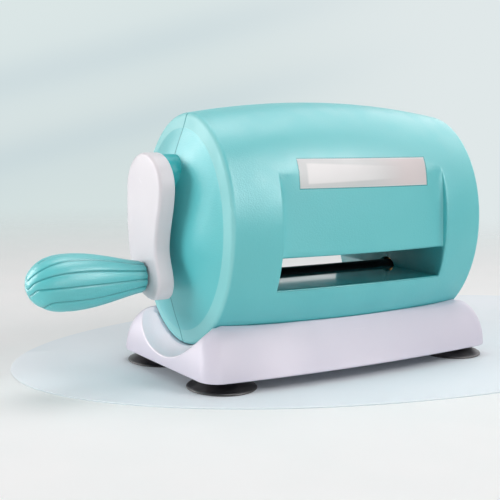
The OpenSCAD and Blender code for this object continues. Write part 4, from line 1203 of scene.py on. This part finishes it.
def moulded_plastic(
    name, tones, gloss, grain, depth, shine=0.8, grooves=False, band=None, scoop_light=None
):
    """Satin plastic. The first of the four tones drifts a little to the second, edges and scuffs
    are rubbed to the third, and hollows are painted in the fourth, a darker tone, as shade. Where
    there is a band, the ring round each end of the housing gets it, a paler teal painted as the
    light that falls on it from the left; the seam, the line round the plate and the passage's
    walls are then painted darker as shade too. Where grooves is set, the grip's grooves are
    painted darker as shade, and where a paler colour for the bed past the rims is given, the bed
    gets it, as painted light."""
    material, tree, shader, place = start_material(
        name, IOR=1.55, Specular_IOR_Level=shine, Coat_Roughness=0.06, Coat_IOR=1.5
    )
    main, drift, rubbed_edge, hollow = (colour(*rgb) for rgb in tones)
    grained = finish_of(tree, "moulded_grain", place, grain)
    worn = finish_of(tree, "rubbed", place)
    base = lay_over(tree, main, grained["Tone"], drift)
    rough = stretch(tree, grained["Patches"], 0, 1, *gloss)
    height = grained["Height"]
    painted_shade = times(tree, worn["Hollows"], HOLLOW_SHADE)
    if band:
        ring, seam, polished, inside = housing_masks(tree, place)
        # Painted light: the ring round each end is paler, as if lit from the left.
        base = lay_over(tree, base, ring, colour(*band))
        # Painted shade: the passage's walls are laid over with a darker teal.
        base = lay_over(tree, base, inside, PASSAGE_SHADE_TEAL, 0.8)
        # Painted shade along the seam, and a painted shadow round the plate.
        for line in (times(tree, seam, 0.9), plate_shadow_line(tree, place)):
            painted_shade = maths(tree, "MAXIMUM", painted_shade, line)
        smooth = maths(tree, "MAXIMUM", times(tree, ring, 0.7), polished)
        height = times(tree, height, maths(tree, "SUBTRACT", 1.0, smooth))
        for mask, rougher in ((ring, 0.2), (inside, 0.4), (polished, -0.65)):
            rough = maths(tree, "MULTIPLY_ADD", mask, rougher, rough)
        tree.links.new(polished, shader.inputs["Coat Weight"])
    # Painted light: the bed past the rims is made paler.
    if scoop_light:
        base = lay_over(tree, base, scoop_light_mask(tree, place), colour(*scoop_light))
    # Painted shade in the grip's grooves.
    if grooves:
        groove_shade_attr = node(tree, "Attribute", attribute_name="hollow").outputs["Fac"]
        painted_shade = maths(tree, "MAXIMUM", painted_shade, times(tree, groove_shade_attr, 0.9))
    # Painted shade: the darker tone is laid over hollows, seam, the plate's shadow and grooves.
    base = lay_over(tree, base, painted_shade, hollow)
    pale = times(tree, worn["Edges"], EDGES)
    pale = maths(tree, "MULTIPLY_ADD", worn["Scuffs"], SCUFFS, pale)
    base = lay_over(tree, base, pale, rubbed_edge)
    rough = maths(tree, "MULTIPLY_ADD", worn["Edges"], -0.08, rough)
    rough = maths(tree, "MULTIPLY_ADD", worn["Scuffs"], 0.1, rough)
    end_material(tree, shader, base, rough, height, depth)
    return material


# PASSAGE_SHADE_TEAL is painted shade for the passage's walls.
PASSAGE_SHADE_TEAL = colour(0, 142, 148)
TEAL_GLOSS, TEAL_DEPTH = (0.34, 0.42), 4.2e-5
# The last tone of each list is the darker one that hollows are painted with, as shade.
TEAL = [(93, 197, 200), (87, 193, 197), (160, 228, 228), (0, 140, 146)]
# HUB_SHADE_TEAL is painted shade: a deeper, more saturated teal standing in for the arm's shadow
# on the hub.
HUB_SHADE_TEAL = [(0, 184, 188), (0, 178, 183), *TEAL[2:]]
WHITE = [(218, 219, 223), (214, 215, 220), (240, 240, 242), (190, 189, 196)]
LILAC = [(215, 213, 225), (210, 209, 222), (244, 243, 248), (186, 188, 206)]
teal_plastic = moulded_plastic("teal_plastic", TEAL, TEAL_GLOSS, 1500.0, TEAL_DEPTH, grooves=True)
# The band colour is painted light: a paler teal on the ring round each end, as if lit from the
# left.
housing_plastic = moulded_plastic(
    "housing_plastic", TEAL, TEAL_GLOSS, 1500.0, TEAL_DEPTH, band=(128, 206, 207)
)
hub_shaded_plastic = moulded_plastic("hub_shaded_plastic", HUB_SHADE_TEAL, TEAL_GLOSS, 1150.0, 3e-5, 0.45)
white_plastic = moulded_plastic("white_plastic", WHITE, (0.38, 0.46), 1900.0, 1.4e-5, 0.4)
# The base's bed past the rims is painted paler and pinker, as light.
lilac_plastic = moulded_plastic(
    "base_plastic", LILAC, (0.36, 0.44), 1500.0, 1.8e-5, 0.4, scoop_light=(253, 245, 253)
)

# %% [markdown]
# The plate on the apron is a printed film, left bare. It has a silver border and a paler field
# inside, with a soft bevel between them. The field fades out towards the right, and the right
# part is a warmer grey.


# %% Film on the plate
def plate_film():
    """Masks from x and z, in mm from the plate's middle: the field is a product of soft steps,
    and its lower and upper ends run together a little towards the right."""
    material, tree, shader, place = start_material("plate_film", IOR=1.5, Metallic=0.0)
    parts = node(tree, "SeparateXYZ", {0: place}).outputs
    across = maths(tree, "SUBTRACT", parts["X"], BARREL_X * MM)
    up = off(tree, parts["Z"], (PLATE_LOW + PLATE_HIGH) / 2)
    half_high = (PLATE_HIGH - PLATE_LOW) / 2
    narrowed = stretch(tree, across, -34 * MM, 30 * MM, 0.0, 2.2 * MM, smooth=False)
    field = step(tree, maths(tree, "ADD", up, narrowed), half_high - 1.2, half_high - 2.2)
    field = times(tree, field, step(tree, across, -32.2, -30.8), step(tree, across, 24, -4))
    rim = step(tree, up, half_high - 0.7, half_high - 0.25)
    grain = finish_of(tree, "moulded_grain", place, 2600.0)
    base = lay_over(tree, colour(205, 212, 211), step(tree, across, -2, 26), colour(218, 212, 211))
    base = lay_over(tree, base, field, colour(231, 234, 233))
    base = lay_over(tree, base, grain["Tone"], colour(196, 200, 201), 0.25)
    base = lay_over(tree, base, rim, colour(236, 236, 236), 0.55)
    rough = stretch(tree, grain["Patches"], 0, 1, 0.3, 0.4)
    height = maths(tree, "MULTIPLY_ADD", field, 0.8, grain["Height"])
    end_material(tree, shader, base, rough, height, 4e-6)
    return material


plate_material = plate_film()

# %% [markdown]
# Inside there is metal: black rollers rubbed to grey in thin streaks, zinc-plated frames and
# screws with clouds and lines, bright turned bars with a film of oil, and bronze bushes pressed
# from powder, dark in their pores. The gears are milky nylon: light goes in a little, and grease
# has darkened them unevenly. The cups are black rubber. All are made in one way: two tones by
# one mask of a finish, and more tones laid over them by other masks.


# %% Metals, nylon and rubber
def dusty_rubber(tree, place, marks):
    """Two more masks for the cups: Bloom is patches of dust that are thicker low down, where the
    skirt meets a table, and Rim is the dark line where the mould closed."""
    height = node(tree, "SeparateXYZ", {0: place}).outputs["Z"]
    marks["Bloom"] = times(tree, marks["Patches"], step(tree, height, 8, 3))
    marks["Rim"] = step(tree, height, 0.9, 0.2)


def worn_material(name, finish, tones, layers, gloss, depth, grains=None, more=None, **fixed):
    """A material from one finish and, if its edges are worn, the rubbed finish. Tones are a mask
    and two colours; layers are a mask, a share of it and the colour it lays over the rest. Gloss
    is a mask and the roughness where it is 0 and where it is 1."""
    material, tree, shader, place = start_material(name, **fixed)
    marks = dict(finish_of(tree, finish, place, grains).items())
    if any(mask == "Edges" for mask, _, _ in layers):
        marks.update(finish_of(tree, "rubbed", place).items())
    if more:
        more(tree, place, marks)
    base = lay_over(tree, colour(*tones[1]), marks[tones[0]], colour(*tones[2]))
    for mask, share, top in layers:
        base = lay_over(tree, base, marks[mask], colour(*top), share)
    rough = stretch(tree, marks[gloss[0]], 0, 1, *gloss[1:])
    end_material(tree, shader, base, rough, marks["Height"], depth)
    return material


roller_material = worn_material(
    "roller_black", "turning_marks", ("Tone", (12, 13, 15), (22, 23, 26)),
    [("Streaks", 0.22, (96, 98, 102)), ("Edges", 1, (120, 122, 126))],
    ("Streaks", 0.42, 0.3), 6e-6, Metallic=0.6, IOR=1.5,
)
zinc = worn_material(
    "plated_steel", "rolled_sheet", ("Clouds", (176, 182, 188), (196, 199, 201)),
    [("Tone", 0.3, (158, 163, 170)), ("Edges", 1, (222, 222, 220))],
    ("Clouds", 0.3, 0.46), 8e-6, Metallic=1.0,
)
bar_steel = worn_material(
    "bright_bar", "turning_marks", ("Tone", (178, 180, 182), (202, 203, 203)),
    [("Streaks", 0.4, (140, 142, 145))],
    ("Streaks", 0.2, 0.34), 3e-6, Metallic=1.0, Coat_Weight=0.25, Coat_Roughness=0.15,
)
bronze = worn_material(
    "sintered_bronze", "pores", ("Dark", (186, 146, 88), (92, 66, 38)),
    [("Edges", 1, (224, 188, 126))],
    ("Dark", 0.34, 0.6), 1.5e-5, Metallic=1.0,
)
nylon = worn_material(
    "natural_nylon", "moulded_grain", ("Tone", (231, 226, 206), (221, 214, 190)),
    [("Patches", 0.3, (196, 184, 150)), ("Edges", 0.6, (246, 244, 236))],
    ("Patches", 0.4, 0.28), 9e-6, 900.0, IOR=1.53,
    Subsurface_Weight=0.12, Subsurface_Scale=0.002, Coat_Weight=0.1, Coat_Roughness=0.25,
)
rubber = worn_material(
    "cup_rubber", "moulded_grain", ("Tone", (14, 14, 15), (20, 20, 21)),
    [("Bloom", 0.35, (92, 90, 91)), ("Rim", 0.6, (20, 17, 16))],
    ("Bloom", 0.32, 0.5), 1.2e-5, 1200.0, dusty_rubber, IOR=1.52, Specular_IOR_Level=0.8,
)

# %% [markdown]
# ## Every piece gets its finish
#
# A new piece takes one material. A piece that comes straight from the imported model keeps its
# mesh, and only its material slots change.

# %% Assigning the materials
PIECE_FINISH = {
    housing_plastic: [front_shell, rear_shell],
    teal_plastic: [grip],
    hub_shaded_plastic: [hub],
    white_plastic: [arm],
    lilac_plastic: [base],
    plate_material: [plate],
    roller_material: [upper_roller, lower_roller],
    rubber: [o for o in bpy.data.objects if o.name.endswith("_suction_cup")],
}
NODE_FINISH = {
    zinc: ["left_frame", "right_frame", "gear_plate", "frame_screws", "gear_plate_screws",
           "base_screws", "base_nuts", "shell_screws", "shaft_clip", "upper_clip", "lower_clip"],
    bar_steel: ["gear_spacers", "upper_front_tie_rod", "upper_rear_tie_rod",
                "lower_front_tie_rod", "lower_rear_tie_rod", "crank_shaft", "crank_pinion",
                "hub_pin", "grip_axle"],
    bronze: [name for name in frame["nodes"] if name.endswith("_bush")],
    nylon: ["grip_sleeve", "drive_gear", "upper_sync_gear", "lower_sync_gear"],
}
for material, pieces in PIECE_FINISH.items():
    for piece in pieces:
        piece.data.materials.append(material)
for material, names in NODE_FINISH.items():
    for name in names:
        for slot in frame["nodes"][name].material_slots:
            slot.material = material
dressed = {name for names in NODE_FINISH.values() for name in names}
bare = [n for n, o in frame["nodes"].items() if not o.hide_render and n not in dressed]
print("Nodes with a finish:", len(dressed), "and without one:", bare)

# %% [markdown]
# ## Floor, room and light
#
# The machine stands on a pale oval board on a plain floor. The floor thins out with distance, so
# that no edge shows and the room's pale wall takes over. The room lights everything softly. A
# lamp on the left lights the domed end and gives the crank its shadow, a second one high on the
# right shapes the barrel, one hangs overhead, and a weak one fills in from the front. Three pale
# cards give only gloss: one behind the dome, one along the barrel and one over its top.

# %% Floor and board
BOARD_AT, BOARD_HALF, BOARD_TURN, BOARD_T = (86.6, 11.9), (191.6, 102.0), -4.4, 0.8
FLOOR_AT, FLOOR_HALF = (30, 0), (900, 900)
FADE_FROM, FADE_ENDS = (0.03, 0, 0), (0.7, 0.2)  # in metres: gone at the first, full at the second


def flat_rings(radii, heights, half, centre, turn=0.0, sides=256):
    """Rings round a centre, each an oval: the share in radii times half, at its height."""
    a = np.linspace(0, 2 * pi, sides, endpoint=False)
    c, s = cos(radians(turn)), sin(radians(turn))
    x = np.array(radii)[:, None] * half[0] * np.cos(a)
    y = np.array(radii)[:, None] * half[1] * np.sin(a)
    z = np.array(heights)[:, None] + 0 * a
    return stack(centre[0] - BARREL_X + c * x - s * y, centre[1] + s * x + c * y, z)


def floor_material(name, inner, outer, rough, fades):
    """Matt paint with a faint mottle; it thins out between two distances where it fades."""
    material, tree, shader, place = start_material(name, IOR=1.45, Specular_IOR_Level=0.25)
    grained = finish_of(tree, "moulded_grain", place, 700.0)
    base = lay_over(tree, colour(*inner), grained["Tone"], colour(*outer))
    tree.links.new(base, shader.inputs["Base Color"])
    gloss = stretch(tree, grained["Patches"], 0, 1, rough, rough + 0.1)
    tree.links.new(gloss, shader.inputs["Roughness"])
    if fades:
        away = node(tree, "VectorMath", {0: place, 1: FADE_FROM}, operation="DISTANCE")
        shown = stretch(tree, away.outputs["Value"], *FADE_ENDS)
        tree.links.new(shown, shader.inputs["Alpha"])
    return material


board_rows = ([0.0, 0.5, 0.9, 0.998, 1.0, 0.996, 0.0], [0, 0, 0, 0, -0.2, -BOARD_T, -BOARD_T])
board = make_piece("board", [(flat_rings(*board_rows, BOARD_HALF, BOARD_AT, BOARD_TURN), True)])
floor_rows = (np.linspace(0, 1, 12) ** 2, np.full(12, -BOARD_T))
floor = make_piece("floor", [(flat_rings(*floor_rows, FLOOR_HALF, FLOOR_AT), True)])
board_paint = floor_material("board_paint", (233, 244, 248), (231, 243, 247), 0.6, False)
floor_paint = floor_material("floor_paint", (244, 250, 249), (242, 249, 248), 0.8, True)
board.data.materials.append(board_paint)
floor.data.materials.append(floor_paint)

# %% [markdown]
# The room's wall is seen, and mirrored, as faint bands that slope across it. The bands are
# painted shadows, as a window's would fall on the wall, and the wall is painted lighter towards
# the right. What lights the colours is one plain level, which is much lower.

# %% Room
ROOM_LIGHT = 0.18
BAND_AXIS, RIGHT_AXIS = (0.2273, -0.1569, -0.9611), (0.828, -0.5606, 0.0)
RAMP_END = 0.15  # the bands lie this far on both sides of the level line
WALL_SHADOW_BANDS = [
    (-0.10, (219, 230, 230)),
    (-0.075, (203, 217, 221)),
    (-0.055, (214, 226, 227)),
    (-0.03, (215, 226, 226)),
    (-0.008, (200, 215, 219)),
    (0.012, (209, 222, 223)),
    (0.05, (213, 225, 224)),
    (0.12, (211, 224, 224)),
]
world = bpy.data.worlds.new("room")
bpy.context.scene.world = world
world.use_nodes = True
tree = world.node_tree
tree.nodes.clear()
towards = node(tree, "TexCoord").outputs["Generated"]
slope, side = (
    node(tree, "VectorMath", {0: towards, 1: axis}, operation="DOT_PRODUCT").outputs["Value"]
    for axis in (BAND_AXIS, RIGHT_AXIS)
)
wall = node(tree, "ValToRGB")
wall.color_ramp.interpolation = "B_SPLINE"
ramp = wall.color_ramp.elements
while len(ramp) < len(WALL_SHADOW_BANDS):
    ramp.new(1.0)
for element, (at, rgb) in zip(ramp, WALL_SHADOW_BANDS):
    element.position = (at + RAMP_END) / (2 * RAMP_END)
    element.color = colour(*rgb)
tree.links.new(stretch(tree, slope, -RAMP_END, RAMP_END, smooth=False), wall.inputs[0])
seen = lay_over(tree, wall.outputs[0], stretch(tree, side, -0.1, 0.2), colour(224, 232, 233))
path = node(tree, "LightPath").outputs
shown = maths(tree, "MAXIMUM", path["Is Camera Ray"], path["Is Glossy Ray"])
shown = maths(tree, "MAXIMUM", shown, path["Is Transmission Ray"])
plain = node(tree, "Background", {"Color": colour(255, 249, 249), "Strength": ROOM_LIGHT})
backdrop = node(tree, "Background", {"Color": seen, "Strength": 1.0})
mixed = node(tree, "MixShader", {0: shown, 1: plain.outputs[0], 2: backdrop.outputs[0]})
node(tree, "OutputWorld", {"Surface": mixed.outputs[0]})
bpy.context.scene.view_settings.view_transform = "Standard"


# %% Lamps
LAMPS_FACE = (0.02, 0, 0.06)  # the point in metres that every lamp faces


def lamp(name, towards, distance, size, level, lights="all"):
    """A square lamp that faces the machine. Level is the share of a plain level that it gives to
    a surface facing it: power = level x pi^2 x distance^2. It lights all, or only the colour, or
    only the gloss: that one is a pale card held where a highlight is wanted."""
    data = bpy.data.lights.new(name, "AREA")
    data.shape, data.size = "SQUARE", size
    data.energy = level * (pi * distance) ** 2
    data.color = colour(255, 247, 248)[:3]
    made = bpy.data.objects.new(name, data)
    made.visible_diffuse = lights != "gloss"
    made.visible_glossy = lights != "colour"
    bpy.context.scene.collection.objects.link(made)
    away = Vector(towards).normalized()
    made.location = Vector(LAMPS_FACE) + away * distance
    made.rotation_euler = away.to_track_quat("Z", "Y").to_euler()
    print(name, "gives", level, "of a plain level from", [round(v, 2) for v in away])


lamp("left_softbox", (-0.96, 0.08, 0.22), 1.0, 0.3, 0.5, "colour")
lamp("right_softbox", (0.5, -0.62, 0.64), 1.1, 0.45, 0.36)
lamp("front_fill", (-0.2, -1.0, 0.2), 1.3, 0.6, 0.18)
lamp("overhead", (0.15, 0.1, 1.0), 1.2, 0.8, 0.46)
lamp("dome_card", (-0.74, 0.58, 0.22), 1.0, 0.8, 1.1, "gloss")
lamp("barrel_card", (0.4, -0.84, 0.38), 1.0, 0.35, 0.24, "gloss")
lamp("top_card", (0.8, 0.2, 0.6), 1.0, 0.8, 0.34, "gloss")
